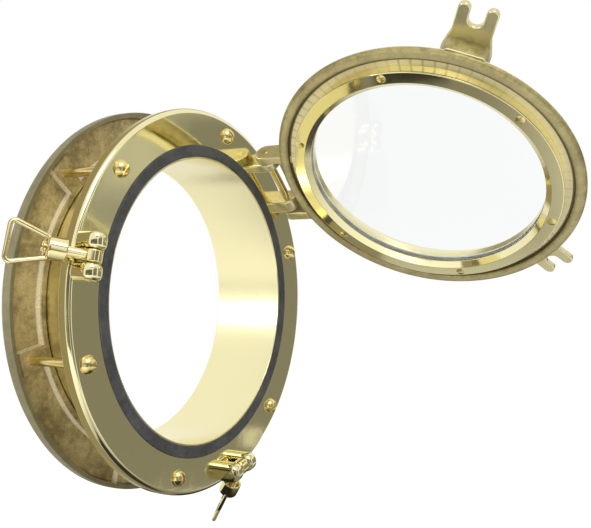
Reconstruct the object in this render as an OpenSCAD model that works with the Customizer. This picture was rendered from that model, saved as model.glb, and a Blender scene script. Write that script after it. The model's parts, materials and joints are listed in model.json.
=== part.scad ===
// Round opening window of a ship: a flanged frame with its spigot, a clamp ring for the
// far side of the wall, and a glazed leaf that swings on a hinge and is held shut by two
// swing bolts (the dogs) with loop-handled nuts.
// Lengths are millimetres and angles are degrees.
// The window is laid out on a bench with its axis along z and its inside face up.
// z = 0 is the back of the flange, the face that sits on the wall. stand() turns the
// finished window upright, so that its inside face looks along -Y.

/* [Frame] */
// Diameter of the clear bore through the spigot
bore_d = 204; // [160:1:260]
// Width of the flange from the bore to its edge
flange_w = 35.2; // [32:0.1:42]
// Thickness of the flange
flange_t = 8; // [7:0.5:12]
// Radius of the flange's rounded front edge
flange_round = 3.2; // [1:0.1:3.4]
// Length of the spigot behind the flange
spigot_len = 52; // [40:1:90]
// Wall of the spigot at its machined end
spigot_wall = 6.5; // [5:0.1:8]
// Length of the machined end, which the clamp ring slides on
spigot_seat = 16; // [12:0.5:20]
// Length of the turned band between the machined end and the cast root
spigot_band = 6; // [3:0.5:10]
// Height of the two steps on the outside of the spigot
spigot_step = 1; // [0.4:0.1:1.5]

/* [Gasket] */
// Brass left between the bore and the gasket's groove
gasket_lip = 1.4; // [1:0.1:2]
// Width of the rubber gasket
gasket_w = 8.2; // [6:0.1:9]
// Thickness of the rubber gasket
gasket_t = 5; // [3:0.1:6]
// Height of the gasket above the flange
gasket_proud = 0.8; // [0.4:0.1:1.5]

/* [Clamp ring] */
// How far the ring reaches past the edge of the flange
ring_over = 1.3; // [0:0.1:8]
// Thickness of the ring
ring_t = 9; // [7:0.5:12]
// Depth of the six cast pockets in the ring's wall side
ring_pocket = 4.5; // [2:0.5:5]
// Width of the ring's inner rim
ring_hub_w = 4; // [3:0.5:6]
// Width of the ring's outer rim
ring_rim_w = 3; // [2:0.5:5]
// Radius of the ring's rounded outer edge
ring_round = 4; // [2:0.5:5]
// Width of the land at each screw, at the inner rim
land_in_w = 11; // [9:0.5:14]
// Width of the land at each screw, at the outer rim
land_out_w = 16; // [9:0.5:20]
// How far the spigot stands past the ring
spigot_proud = 4.3; // [0:0.1:6]
// Play between the ring and the spigot
ring_play = 0.5; // [0.2:0.1:1]

/* [Clamp screws] */
// Diameter of the screws
screw_d = 6; // [5:0.5:8]
// Diameter of the round heads
screw_head_d = 12; // [10:0.5:12.5]
// Height of the round heads
screw_head_h = 5; // [3:0.5:6]
// Distance of the screws from the edge of the flange
screw_edge = 12; // [9:0.1:12.5]
// Depth of thread in the ring
screw_grip = 7; // [5:0.5:8]
// Width of the screwdriver slot
screw_slot_w = 1.6; // [1:0.1:2]
// Depth of the screwdriver slot
screw_slot_depth = 1.8; // [1:0.1:2.5]

/* [Hinge] */
// Direction of the hinge round the window, from the right-hand side
hinge_angle = 48.2; // [0:0.1:90]
// How far the leaf stands open
open_angle = 90.5; // [0:0.1:160]
// Distance of the hinge pin from the edge of the flange
hinge_pin_edge = 12; // [9:0.1:12.5]
// Height of the hinge pin above the flange
hinge_pin_h = 11.5; // [10:0.5:14]
// Diameter of the hinge pin
hinge_pin_d = 6; // [5:0.5:8]
// Radius of the hinge's lugs and ears round the pin
hinge_eye_r = 8; // [6:0.1:8.2]
// Space between the two lugs of the frame
hinge_gap = 33; // [24:1:40]
// Thickness of the frame's upper lug
hinge_lug_t_1 = 7.4; // [6:0.1:12]
// Thickness of the frame's lower lug
hinge_lug_t_2 = 11.4; // [6:0.1:12]
// Thickness of the leaf's upper ear
hinge_ear_t_1 = 6.9; // [5:0.1:10]
// Thickness of the leaf's lower ear
hinge_ear_t_2 = 8; // [5:0.1:10]
// Distance of the web between the ears from the middle of the pin
hinge_web_gap = 10; // [9:0.5:12]
// Thickness of the web between the ears
hinge_web_t = 8; // [5:0.5:10]

/* [Leaf] */
// Width of the sealing bead round the leaf
bead_w = 8; // [6.5:0.1:8.6]
// Thickness of the sealing bead
bead_t = 6; // [4:0.5:6.5]
// How far the bead reaches past the gasket
bead_over = 0.4; // [0:0.1:1]
// Thickness of the leaf from the bead to its outer face
leaf_t = 19; // [17:0.5:24]
// How far the outer face is set in from the bead
leaf_set_in = 16; // [14:0.5:18]
// Radius of the crown of the outer face
leaf_crown = 5; // [2:0.5:6]
// Widening of the opening towards the outer face
leaf_flare = 3.5; // [1:0.5:4]
// Thickness of the glass
glass_t = 8; // [5:0.5:10]
// Glass held behind the retaining ring
glass_lap = 5; // [3:0.5:6]
// Thickness of the bedding under the glass
bedding_t = 1.2; // [0.8:0.1:2]

/* [Retaining ring] */
// Gap between the retaining ring and the bore when the leaf is shut
keep_gap = 4; // [2:0.5:5]
// Width of the retaining ring
keep_w = 12.5; // [11:0.5:14]
// Width of its slope towards the glass
keep_slope = 4; // [2:0.5:4]
// Height of the ring above the turned face of the leaf
keep_h = 7.2; // [5:0.1:8]
// Thickness of the ring over the glass
keep_lip = 3.8; // [2:0.1:4]
// Diameter of the ring's screws
keep_screw_d = 3; // [2:0.5:3]
// Diameter of the countersunk heads
keep_head_d = 6.5; // [4:0.5:7]
// Distance of the screws from the outside of the ring
keep_screw_edge = 4.2; // [3.9:0.1:4.4]
// Length of the ring's screws
keep_screw_len = 13; // [11:0.5:14]

/* [Dogs] */
// Angle from the hinge to the upper dog
dog_angle_1 = 118.4; // [105:0.1:130]
// Angle from the hinge to the lower dog
dog_angle_2 = 124.2; // [105:0.1:130]
// Distance of the dogs' pins from the edge of the flange
dog_pin_edge = 8; // [7.2:0.1:9]
// Height of the dogs' pins above the flange
dog_pin_h = 8.5; // [8:0.1:10]
// Diameter of the dogs' pins
dog_pin_d = 5; // [4:0.5:6]
// Radius of the lugs round the pins
dog_eye_r = 7; // [6:0.1:7]
// Space between the two lugs of a dog
dog_gap = 8.4; // [7.8:0.1:11]
// Thickness of each lug of a dog
dog_lug_t = 10.5; // [5:0.5:11]
// How far the dogs are swung back from the shut position
dog_swing = 124; // [90:1:124]
// Diameter of the swing bolts
bolt_d = 7; // [5:0.5:7]
// Radius of the swing bolts' eyes
bolt_eye_r = 5.8; // [5.5:0.1:7]
// Length of the swing bolts from their pins
bolt_len = 30; // [28:1:40]

/* [Forks] */
// Depth of the forks behind the middle of the sealing bead
fork_drop = 14.5; // [13:0.5:16]
// Thickness of the forks
fork_t = 4.5; // [3:0.5:6]
// Width of the slot for the swing bolt
fork_slot_w = 10; // [9:0.5:12]
// Width of each prong
fork_prong_w = 8; // [5:0.5:9]
// How far the prongs reach past the swing bolt's axis
fork_reach = 8; // [4:0.5:9]
// Distance of the slot's round end from the swing bolt's axis
fork_slot_in = 1.5; // [0:0.5:4]

/* [Nuts] */
// Diameter of the nuts' hubs
nut_d = 14; // [12:0.5:14]
// Length of the nuts' hubs
nut_len = 11.5; // [9:0.5:13]
// Thickness of the rod that the loop handles are bent from
loop_rod = 3.4; // [3:0.1:5]
// Length of the loops from the seat of the nut to the far bar
loop_len = 32.9; // [28:0.1:45]
// How far the nuts are backed off from the forks of the shut leaf
nut_slack = 1.1; // [0.3:0.1:4]
// Width of the loops at the hub, between rod centres
loop_near_w = 9.4; // [8:0.1:10]
// Width of the loops at the far bar, between rod centres
loop_far_w = 26; // [22:0.5:34]
// Radius of the loops' two bends, to the middle of the rod
loop_bend = 3; // [2.5:0.5:5]
// Turn of the upper nut on its bolt
nut_turn_1 = 0; // [-180:1:180]
// Turn of the lower nut on its bolt
nut_turn_2 = -18; // [-180:1:180]

/* [Hidden] */
$fn = 96;
dog_count = 2;
// Cuts run this far past the faces that they open
overrun = 1;
// Radial play of a turning fit, of a driven pin, of a thread and of a clearance hole
run_fit = 0.06;
drive_fit = 0.01;
thread_fit = 0.05;
hole_fit = 0.3;
// Play beside turning eyes, round the glass, and under the leaf when shut
side_fit = 0.4;
glass_fit = 0.5;
shut_fit = 0.25;
// Small chamfer on turned edges
edge_break = 0.6;
// Bends in a rod swell by this much
bend_swell = 0.12;
// Depth to which lugs are rooted in the flange, as a share of its thickness
root_share = 0.5;
// Slots of the screws lie at chance angles, one step of turn apart
slot_turn = 50;
// Screws of both rings stand at these shares of the way from each fitting to the next
screw_shares = [0.25, 0.75];

bore_r = bore_d / 2;
flange_r = bore_r + flange_w;
spigot_r = bore_r + spigot_wall;
groove_in_r = bore_r + gasket_lip;
groove_out_r = groove_in_r + gasket_w;
screw_circle_r = flange_r - screw_edge;
// Hinge and dogs in turn round the flange, and back to the hinge
fitting_angles = [0, dog_angle_1, 360 - dog_angle_2, 360];
screw_angles = [for (k = [0:dog_count]) for (share = screw_shares)
    hinge_angle + fitting_angles[k] + share * (fitting_angles[k + 1] - fitting_angles[k])];
screw_count = len(screw_angles);

ring_r = flange_r + ring_over;
ring_bore_r = spigot_r + ring_play;
ring_back_z = spigot_proud - spigot_len;
ring_wall_z = ring_back_z + ring_t;
screw_len = flange_t - ring_wall_z + screw_grip;

hinge_pin_r = flange_r - hinge_pin_edge;
hinge_pin_z = flange_t + hinge_pin_h;
// Places along the pin, for the upper and for the lower side
hinge_lug_outs = [for (t = [hinge_lug_t_1, hinge_lug_t_2]) hinge_gap / 2 + t];
hinge_ear_ins = [for (out = hinge_lug_outs) out + side_fit];
hinge_ear_outs = hinge_ear_ins + [hinge_ear_t_1, hinge_ear_t_2];

bead_out_r = groove_out_r + bead_over;
bead_in_r = bead_out_r - bead_w;
seat_z = flange_t + gasket_proud + shut_fit;
bead_mid_z = seat_z + bead_t / 2;
bead_top_z = seat_z + bead_t;
leaf_top_z = seat_z + leaf_t;
leaf_top_r = bead_out_r - leaf_set_in;
leaf_root_r = leaf_top_r - leaf_crown;

keep_r = bore_r - keep_gap;
sight_r = keep_r - keep_w;
keep_top_z = bead_mid_z - keep_h;
glass_r = sight_r + glass_lap;
glass_in_z = keep_top_z + keep_lip;
glass_out_z = glass_in_z + glass_t;
pocket_r = glass_r + glass_fit;
ledge_z = glass_out_z + bedding_t;
keep_screw_r = keep_r - keep_screw_edge;
keep_head_h = (keep_head_d - keep_screw_d) / 2;

dog_pin_r = flange_r - dog_pin_edge;
dog_pin_z = flange_t + dog_pin_h;
dog_lug_out = dog_gap / 2 + dog_lug_t;
bolt_eye_t = dog_gap - 2 * side_fit;
dog_angles = [hinge_angle + dog_angle_1, hinge_angle - dog_angle_2];
nut_turns = [nut_turn_1, nut_turn_2];

fork_in_z = bead_mid_z + fork_drop;
fork_out_z = fork_in_z + fork_t;
fork_tip_r = dog_pin_r + fork_reach;
fork_slot_r = dog_pin_r - fork_slot_in;
fork_half_w = fork_slot_w / 2 + fork_prong_w;
nut_seat = fork_out_z - dog_pin_z + nut_slack;

brass = "#c8b45a";
bright_brass = "#d9c46a";
cast_brass = "#9a8450";
rubber = "#2b2b2d";
clear_glass = "#dfe9e6";

// Turns the window from the bench to its upright place
module stand() {
    rotate([90, 0, 0]) children();
}

// Turns something drawn on the x axis to a direction round the window
module at_angle(angle) {
    rotate([0, 0, angle]) children();
}

// Swings the shut leaf open about the hinge pin
module opened() {
    stand() at_angle(hinge_angle)
        translate([hinge_pin_r, 0, hinge_pin_z])
        rotate([0, open_angle, 0])
        translate([-hinge_pin_r, 0, -hinge_pin_z])
        at_angle(-hinge_angle) children();
}

// Swings a dog, drawn along z from its pin, to where it hangs
module swung(dog) {
    stand() at_angle(dog_angles[dog - 1])
        translate([dog_pin_r, 0, dog_pin_z])
        rotate([0, dog_swing, 0]) children();
}

// Slab with a profile in radius and height, between two places along the tangent
module slab(from, to) {
    translate([0, to, 0]) rotate([90, 0, 0]) linear_extrude(to - from) children();
}

// Rectangle in radius and height
module band(r_in, r_out, z_low, z_high) {
    translate([r_in, z_low]) square([r_out - r_in, z_high - z_low]);
}

// What a rounded corner takes off a square one; right and up are 1 or -1
module corner_cut(r, z, round, right, up) {
    translate([r, z]) mirror([right > 0 ? 1 : 0, 0]) mirror([0, up > 0 ? 1 : 0])
        difference() {
            translate([-overrun, -overrun]) square(round + overrun);
            translate([round, round]) circle(round);
        }
}

// Hole or pin along the tangent, through the pin of a hinge or dog
module cross_bore(pin_r, pin_z, r, from, to) {
    translate([pin_r, to, pin_z]) rotate([90, 0, 0]) cylinder(h = to - from, r = r);
}

// Upright lug with a round head about a pin
module lug_profile(pin_r, pin_z, eye_r, foot_z) {
    translate([pin_r, pin_z]) circle(eye_r);
    band(pin_r - eye_r, pin_r + eye_r, foot_z, pin_z);
}

// Pin with chamfered ends along z, middle at zero
module chamfered_pin(r, len) {
    rotate_extrude() polygon([
        [0, -len / 2], [r - edge_break, -len / 2], [r, edge_break - len / 2],
        [r, len / 2 - edge_break], [r - edge_break, len / 2], [0, len / 2]
    ]);
}

module frame_section() {
    root_r = spigot_r + 2 * spigot_step;
    band_r = spigot_r + spigot_step;
    seat_end_z = spigot_seat - spigot_len;
    difference() {
        union() {
            band(bore_r, flange_r, 0, flange_t);
            band(bore_r, root_r, seat_end_z + spigot_band, flange_t * root_share);
            band(bore_r, band_r, seat_end_z, flange_t * root_share);
            band(bore_r, spigot_r, -spigot_len, flange_t * root_share);
        }
        band(groove_in_r, groove_out_r, flange_t + gasket_proud - gasket_t, flange_t + overrun);
        corner_cut(flange_r, flange_t, flange_round, 1, 1);
        corner_cut(flange_r, 0, edge_break, 1, -1);
        corner_cut(bore_r, flange_t, edge_break, -1, 1);
        corner_cut(bore_r, -spigot_len, edge_break, -1, -1);
        corner_cut(spigot_r, -spigot_len, edge_break, 1, -1);
    }
}

module frame_lugs() {
    foot_z = flange_t * root_share;
    at_angle(hinge_angle) for (side = [0, 1]) mirror([0, side, 0])
        slab(hinge_gap / 2, hinge_lug_outs[side])
            lug_profile(hinge_pin_r, hinge_pin_z, hinge_eye_r, foot_z);
    for (angle = dog_angles) at_angle(angle) for (side = [0, 1]) mirror([0, side, 0])
        slab(dog_gap / 2, dog_lug_out)
            lug_profile(dog_pin_r, dog_pin_z, dog_eye_r, foot_z);
}

module port_frame() {
    color(brass) stand() difference() {
        union() {
            rotate_extrude() frame_section();
            frame_lugs();
        }
        for (angle = screw_angles) at_angle(angle)
            translate([screw_circle_r, 0, -overrun])
                cylinder(h = flange_t + 2 * overrun, r = screw_d / 2 + hole_fit);
        at_angle(hinge_angle)
            cross_bore(hinge_pin_r, hinge_pin_z, hinge_pin_d / 2 + drive_fit,
                -hinge_lug_outs[1] - overrun, hinge_lug_outs[0] + overrun);
        for (angle = dog_angles) at_angle(angle)
            cross_bore(dog_pin_r, dog_pin_z, dog_pin_d / 2 + drive_fit,
                -dog_lug_out - overrun, dog_lug_out + overrun);
    }
}

module gasket() {
    top_z = flange_t + gasket_proud;
    color(rubber) stand() rotate_extrude() difference() {
        band(groove_in_r, groove_out_r, top_z - gasket_t, top_z);
        corner_cut(groove_in_r, top_z, gasket_proud, -1, 1);
        corner_cut(groove_out_r, top_z, gasket_proud, 1, 1);
    }
}

// Land that is left between two pockets for a screw
module land() {
    linear_extrude(ring_t) polygon([
        [ring_bore_r, -land_in_w / 2], [ring_r, -land_out_w / 2],
        [ring_r, land_out_w / 2], [ring_bore_r, land_in_w / 2]
    ]);
}

module ring_section() {
    difference() {
        band(ring_bore_r, ring_r, ring_back_z, ring_wall_z);
        corner_cut(ring_r, ring_back_z, ring_round, 1, -1);
        corner_cut(ring_bore_r, ring_back_z, edge_break, -1, -1);
        corner_cut(ring_r, ring_wall_z, edge_break, 1, 1);
    }
}

module clamp_ring() {
    floor_z = ring_wall_z - ring_pocket;
    color(cast_brass) stand() difference() {
        rotate_extrude() ring_section();
        difference() {
            rotate_extrude()
                band(ring_bore_r + ring_hub_w, ring_r - ring_rim_w, floor_z, ring_wall_z + overrun);
            for (angle = screw_angles) at_angle(angle)
                translate([0, 0, floor_z - overrun]) land();
        }
        for (angle = screw_angles) at_angle(angle)
            translate([screw_circle_r, 0, ring_wall_z - screw_grip])
                cylinder(h = screw_grip + overrun, r = screw_d / 2 + thread_fit);
    }
}

// Round head on z = 0, as a slice of a ball
module round_head(r, height) {
    ball_r = (r * r + height * height) / (2 * height);
    rotate_extrude() intersection() {
        translate([0, height - ball_r]) circle(ball_r);
        square([r, height]);
    }
}

module clamp_screw(i) {
    color(bright_brass) stand() at_angle(screw_angles[i - 1])
        translate([screw_circle_r, 0, flange_t]) difference() {
            union() {
                round_head(screw_head_d / 2, screw_head_h);
                translate([0, 0, -screw_len]) cylinder(h = screw_len, r = screw_d / 2);
            }
            rotate([0, 0, i * slot_turn])
                translate([-screw_head_d / 2, -screw_slot_w / 2, screw_head_h - screw_slot_depth])
                cube([screw_head_d, screw_slot_w, screw_slot_depth + overrun]);
        }
}

module hinge_pin() {
    color(bright_brass) stand() at_angle(hinge_angle)
        translate([hinge_pin_r, (hinge_ear_outs[0] - hinge_ear_outs[1]) / 2, hinge_pin_z])
        rotate([90, 0, 0])
        chamfered_pin(hinge_pin_d / 2, hinge_ear_outs[0] + hinge_ear_outs[1]);
}

module leaf_section() {
    bead_round = bead_t / 2;
    crown_z = leaf_top_z - leaf_crown;
    foot_r = bead_in_r + bead_round;
    polygon([
        [sight_r, ledge_z], [pocket_r, ledge_z], [pocket_r, bead_mid_z], [foot_r, bead_mid_z],
        [foot_r, bead_top_z], [leaf_top_r, crown_z], [leaf_root_r, leaf_top_z],
        [sight_r + leaf_flare, leaf_top_z], [sight_r, leaf_top_z - leaf_crown]
    ]);
    translate([leaf_root_r, crown_z]) circle(leaf_crown);
    translate([foot_r, bead_mid_z]) circle(bead_round);
    translate([bead_out_r - bead_round, bead_mid_z]) circle(bead_round);
    band(foot_r, bead_out_r - bead_round, seat_z, bead_top_z);
}

// Fork seen along the window's axis: two round prongs on a base that widens to the rim
module fork_plan() {
    prong_round = fork_prong_w / 2;
    prong_mid = fork_slot_w / 2 + prong_round;
    prong_end_r = fork_tip_r - prong_round;
    difference() {
        union() {
            polygon([
                [leaf_root_r, -fork_half_w - leaf_flare], [bead_in_r, -fork_half_w - leaf_flare],
                [bead_out_r + bead_t, -fork_half_w], [prong_end_r, -fork_half_w],
                [prong_end_r, fork_half_w], [bead_out_r + bead_t, fork_half_w],
                [bead_in_r, fork_half_w + leaf_flare], [leaf_root_r, fork_half_w + leaf_flare]
            ]);
            for (side = [-1, 1]) translate([prong_end_r, side * prong_mid]) circle(prong_round);
        }
        translate([fork_slot_r, 0]) circle(fork_slot_w / 2);
        translate([fork_slot_r, -fork_slot_w / 2]) square([fork_tip_r, fork_slot_w]);
    }
}

// Fork seen along the tangent: a base that stands on the rim, and the plate that it carries
module fork_side() {
    base_z = bead_mid_z + edge_break;
    base_r = bead_out_r + edge_break;
    polygon([
        [leaf_root_r, base_z], [base_r, base_z], [base_r + edge_break, fork_in_z],
        [fork_tip_r, fork_in_z], [fork_tip_r, fork_out_z], [leaf_top_r + fork_t, fork_out_z],
        [leaf_root_r, leaf_top_z]
    ]);
}

module fork() {
    reach = fork_half_w + leaf_flare;
    intersection() {
        translate([0, 0, bead_mid_z]) linear_extrude(fork_out_z - bead_mid_z + overrun) fork_plan();
        slab(-reach - overrun, reach + overrun) fork_side();
    }
}

// Two ears round the pin, and the web between them that stays clear of the frame's lugs
module hinge_ears() {
    for (side = [0, 1]) mirror([0, side, 0]) slab(hinge_ear_ins[side], hinge_ear_outs[side]) {
        translate([hinge_pin_r, hinge_pin_z]) circle(hinge_eye_r);
        band(leaf_top_r, hinge_pin_r, hinge_pin_z - hinge_eye_r, hinge_pin_z + hinge_eye_r);
    }
    slab(-hinge_ear_outs[1], hinge_ear_outs[0])
        band(leaf_top_r, hinge_pin_r - hinge_web_gap,
            hinge_pin_z - hinge_web_t / 2, hinge_pin_z + hinge_web_t / 2);
}

module leaf_frame() {
    color(cast_brass) opened() difference() {
        union() {
            rotate_extrude() leaf_section();
            at_angle(hinge_angle) hinge_ears();
            for (angle = dog_angles) at_angle(angle) fork();
        }
        at_angle(hinge_angle)
            cross_bore(hinge_pin_r, hinge_pin_z, hinge_pin_d / 2 + run_fit,
                -hinge_ear_outs[1] - overrun, hinge_ear_outs[0] + overrun);
        for (angle = screw_angles) at_angle(angle)
            translate([keep_screw_r, 0, keep_top_z])
                cylinder(h = keep_screw_len + overrun, r = keep_screw_d / 2 + thread_fit);
    }
}

module glass() {
    color(clear_glass) opened() rotate_extrude() difference() {
        band(0, glass_r, glass_in_z, glass_out_z);
        corner_cut(glass_r, glass_in_z, edge_break, 1, -1);
        corner_cut(glass_r, glass_out_z, edge_break, 1, 1);
    }
}

module glass_bedding() {
    color(rubber) opened() rotate_extrude() band(sight_r, glass_r, glass_out_z, ledge_z);
}

module retaining_ring() {
    color(bright_brass) opened() difference() {
        rotate_extrude() difference() {
            polygon([
                [sight_r, glass_in_z], [pocket_r, glass_in_z], [pocket_r, bead_mid_z],
                [keep_r, bead_mid_z], [keep_r, keep_top_z], [sight_r + keep_slope, keep_top_z],
                [sight_r, glass_in_z - edge_break]
            ]);
            corner_cut(keep_r, keep_top_z, edge_break, 1, -1);
        }
        for (angle = screw_angles) at_angle(angle)
            translate([keep_screw_r, 0, keep_top_z]) {
                translate([0, 0, -overrun])
                    cylinder(h = keep_h + 2 * overrun, r = keep_screw_d / 2 + hole_fit);
                cylinder(h = keep_head_h, r1 = keep_head_d / 2, r2 = keep_screw_d / 2);
            }
    }
}

module ring_screw(i) {
    head_r = keep_head_d / 2 - run_fit;
    color(bright_brass) opened() at_angle(screw_angles[i - 1])
        translate([keep_screw_r, 0, keep_top_z]) difference() {
            union() {
                mirror([0, 0, 1]) round_head(head_r, edge_break);
                cylinder(h = keep_head_h, r1 = head_r, r2 = keep_screw_d / 2 - run_fit);
                cylinder(h = keep_screw_len, r = keep_screw_d / 2);
            }
            rotate([0, 0, i * slot_turn])
                translate([-keep_head_d / 2, -edge_break / 2, -edge_break - overrun])
                cube([keep_head_d, edge_break, 2 * edge_break + overrun]);
        }
}

module dog_pin(dog) {
    color(bright_brass) stand() at_angle(dog_angles[dog - 1])
        translate([dog_pin_r, 0, dog_pin_z]) rotate([90, 0, 0])
        chamfered_pin(dog_pin_d / 2, 2 * dog_lug_out);
}

module eyebolt(dog) {
    color(brass) swung(dog) difference() {
        union() {
            rotate([90, 0, 0]) cylinder(h = bolt_eye_t, r = bolt_eye_r, center = true);
            cylinder(h = bolt_len - edge_break, r = bolt_d / 2);
            translate([0, 0, bolt_len - edge_break])
                cylinder(h = edge_break, r1 = bolt_d / 2, r2 = bolt_d / 2 - edge_break);
        }
        cross_bore(0, 0, dog_pin_d / 2 + run_fit, -dog_gap, dog_gap);
    }
}

// Straight piece of round rod in the plane of the loop
module rod(from, to) {
    run = to - from;
    translate([from[0], from[1], 0]) rotate([0, 0, atan2(run[1], run[0])]) rotate([0, 90, 0])
        cylinder(h = norm(run), r = loop_rod / 2);
}

// Loop handle, drawn with the tangent along x and the bolt along y: two legs that lean out
// from the hub, two bends and the far bar, whose ends are sunk into the bends
module loop_handle() {
    near = [loop_near_w / 2, nut_seat + nut_len / 2];
    corner = [loop_far_w / 2, nut_seat + loop_len];
    lean = atan2(corner[0] - near[0], corner[1] - near[1]);
    take_up = loop_bend * tan(45 + lean / 2);
    leg_end = corner - (take_up - bend_swell) * [sin(lean), cos(lean)];
    bar_half = corner[0] - take_up;
    for (side = [0, 1]) mirror([side, 0, 0]) {
        rod(near, leg_end);
        translate([bar_half, corner[1] - loop_bend, 0]) rotate([0, 0, -lean])
            rotate_extrude(angle = 90 + lean)
            translate([loop_bend, 0]) circle(loop_rod / 2 + bend_swell);
    }
    rod([-bar_half - bend_swell, corner[1]], [bar_half + bend_swell, corner[1]]);
}

module wing_nut(dog) {
    color(bright_brass) swung(dog) rotate([0, 0, nut_turns[dog - 1]]) difference() {
        union() {
            translate([0, 0, nut_seat + nut_len / 2]) chamfered_pin(nut_d / 2, nut_len);
            rotate([90, 0, 90]) loop_handle();
        }
        translate([0, 0, nut_seat - overrun])
            cylinder(h = nut_len + 2 * overrun, r = bolt_d / 2 + run_fit);
    }
}

port_frame();
gasket();
clamp_ring();
for (i = [1:screw_count])
    clamp_screw(i);
hinge_pin();
leaf_frame();
glass();
glass_bedding();
retaining_ring();
for (i = [1:screw_count])
    ring_screw(i);
for (i = [1:dog_count])
    dog_pin(i);
for (i = [1:dog_count])
    eyebolt(i);
for (i = [1:dog_count])
    wing_nut(i);
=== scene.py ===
"""Looks of a round opening brass window: flanged frame, clamp ring, glazed leaf and two dogs.

Shapes are worked out on a bench, in millimetres: the window's axis is z, its inside face is up
and z = 0 is the back of the flange. A Placement turns bench points into world metres.
"""
import json
import logging
import math
from dataclasses import dataclass, field
from enum import Enum
from typing import ClassVar

import bpy
import numpy as np
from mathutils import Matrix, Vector
from mathutils.geometry import tessellate_polygon


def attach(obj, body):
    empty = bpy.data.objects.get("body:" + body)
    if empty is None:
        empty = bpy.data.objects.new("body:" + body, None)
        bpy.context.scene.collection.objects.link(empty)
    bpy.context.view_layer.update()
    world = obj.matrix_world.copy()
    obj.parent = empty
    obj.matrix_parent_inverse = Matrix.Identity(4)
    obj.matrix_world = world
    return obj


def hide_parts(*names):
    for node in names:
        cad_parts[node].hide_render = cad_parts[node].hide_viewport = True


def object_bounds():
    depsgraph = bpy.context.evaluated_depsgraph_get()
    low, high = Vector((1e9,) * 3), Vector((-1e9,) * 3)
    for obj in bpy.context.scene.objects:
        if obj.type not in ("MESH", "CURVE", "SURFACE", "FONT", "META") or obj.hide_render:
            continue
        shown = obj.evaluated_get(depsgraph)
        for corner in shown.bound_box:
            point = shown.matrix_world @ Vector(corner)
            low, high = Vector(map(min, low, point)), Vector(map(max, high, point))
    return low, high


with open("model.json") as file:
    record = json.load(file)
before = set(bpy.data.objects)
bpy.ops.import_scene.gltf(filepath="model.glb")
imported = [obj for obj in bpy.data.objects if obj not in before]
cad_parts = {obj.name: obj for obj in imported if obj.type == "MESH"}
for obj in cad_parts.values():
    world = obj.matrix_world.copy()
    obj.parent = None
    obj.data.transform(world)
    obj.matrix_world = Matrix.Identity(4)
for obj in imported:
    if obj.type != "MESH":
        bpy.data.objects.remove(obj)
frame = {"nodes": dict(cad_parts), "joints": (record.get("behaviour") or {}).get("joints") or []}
CAD_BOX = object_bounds()

LOG = logging.getLogger("round_window")
MM = 0.001
FLOOR_DROP = 0.30
FLOOR_Z = CAD_BOX[0][2] - FLOOR_DROP
SHARP_DEG = 40.0
X_AXIS, Y_AXIS, Z_AXIS = np.eye(3)

# Lengths in mm: roundings that look sharp from a step away, what a full half circle gives up so
# that its two arcs don't meet, and a gap too small to see
CRISP = 0.2
FINE = 0.3
TRIM = 0.01
NEAR = 0.02

Socket = bpy.types.NodeSocket
Pair = tuple[float, float]
Triple = tuple[float, float, float]
Colour = Triple
Point = Triple
Corner = Triple
Noise = Triple
Range = Pair
Band = tuple[Range, Range]
Rounds = tuple[float, float, float, float]
WHITE = (1.0, 1.0, 1.0)
BLACK = (0.0, 0.0, 0.0)


class Mark(Enum):
    """Names of the values that a mesh carries at each point for its finish."""

    BENCH = "bench"
    SATIN = "satin"
    CAST = "cast"
    EDGE = "edge"
    COVER = "cover"


# Places


def unit(vectors: np.ndarray) -> np.ndarray:
    """Vectors scaled to length one."""
    return vectors / np.linalg.norm(vectors, axis=-1, keepdims=True)


def eased(t: np.ndarray) -> np.ndarray:
    """Smooth step from 0 to 1: 3 t^2 - 2 t^3."""
    return t * t * (3 - 2 * t)


def turns(steps: int) -> np.ndarray:
    """Evenly spaced angles of one full turn."""
    return np.arange(steps) * (2 * np.pi / steps)


def turn_about(axis: np.ndarray, degrees: float) -> np.ndarray:
    """Rotation matrix about an axis through the origin, by the right-hand rule.

    Args:
        axis: direction of the axis.
        degrees: angle of the turn.

    Returns:
        A 3 by 3 matrix: cos I + sin [a]x + (1 - cos) a a^T.
    """
    a = unit(np.asarray(axis, float))
    cross = np.array([[0, -a[2], a[1]], [a[2], 0, -a[0]], [-a[1], a[0], 0]])
    c, s = math.cos(math.radians(degrees)), math.sin(math.radians(degrees))
    return c * np.eye(3) + s * cross + (1 - c) * np.outer(a, a)


STAND_UP = turn_about(X_AXIS, 90.0)


@dataclass(frozen=True)
class Placement:
    """Rigid place of a sub-assembly: turn, then shift, from bench millimetres to world metres."""

    turn: np.ndarray = field(default_factory=STAND_UP.copy)
    shift: np.ndarray = field(default_factory=lambda: np.zeros(3))

    def world(self, points: np.ndarray) -> np.ndarray:
        """World metres of bench points."""
        return (points * MM) @ self.turn.T + self.shift

    def about_joint(self, joint: dict, degrees: float) -> "Placement":
        """The same place after a turn about a joint of the frame.

        Args:
            joint: the joint's entry in the frame.
            degrees: angle of the turn about the joint's axis.

        Returns:
            The new place.
        """
        turn = turn_about(np.array(joint["axis"]), degrees)
        pivot = np.array(joint["pos_m"])
        return Placement(turn @ self.turn, turn @ (self.shift - pivot) + pivot)


def joint_named(name: str) -> dict:
    """Entry of a joint in the frame."""
    return next(joint for joint in frame["joints"] if joint["name"] == name)


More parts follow.
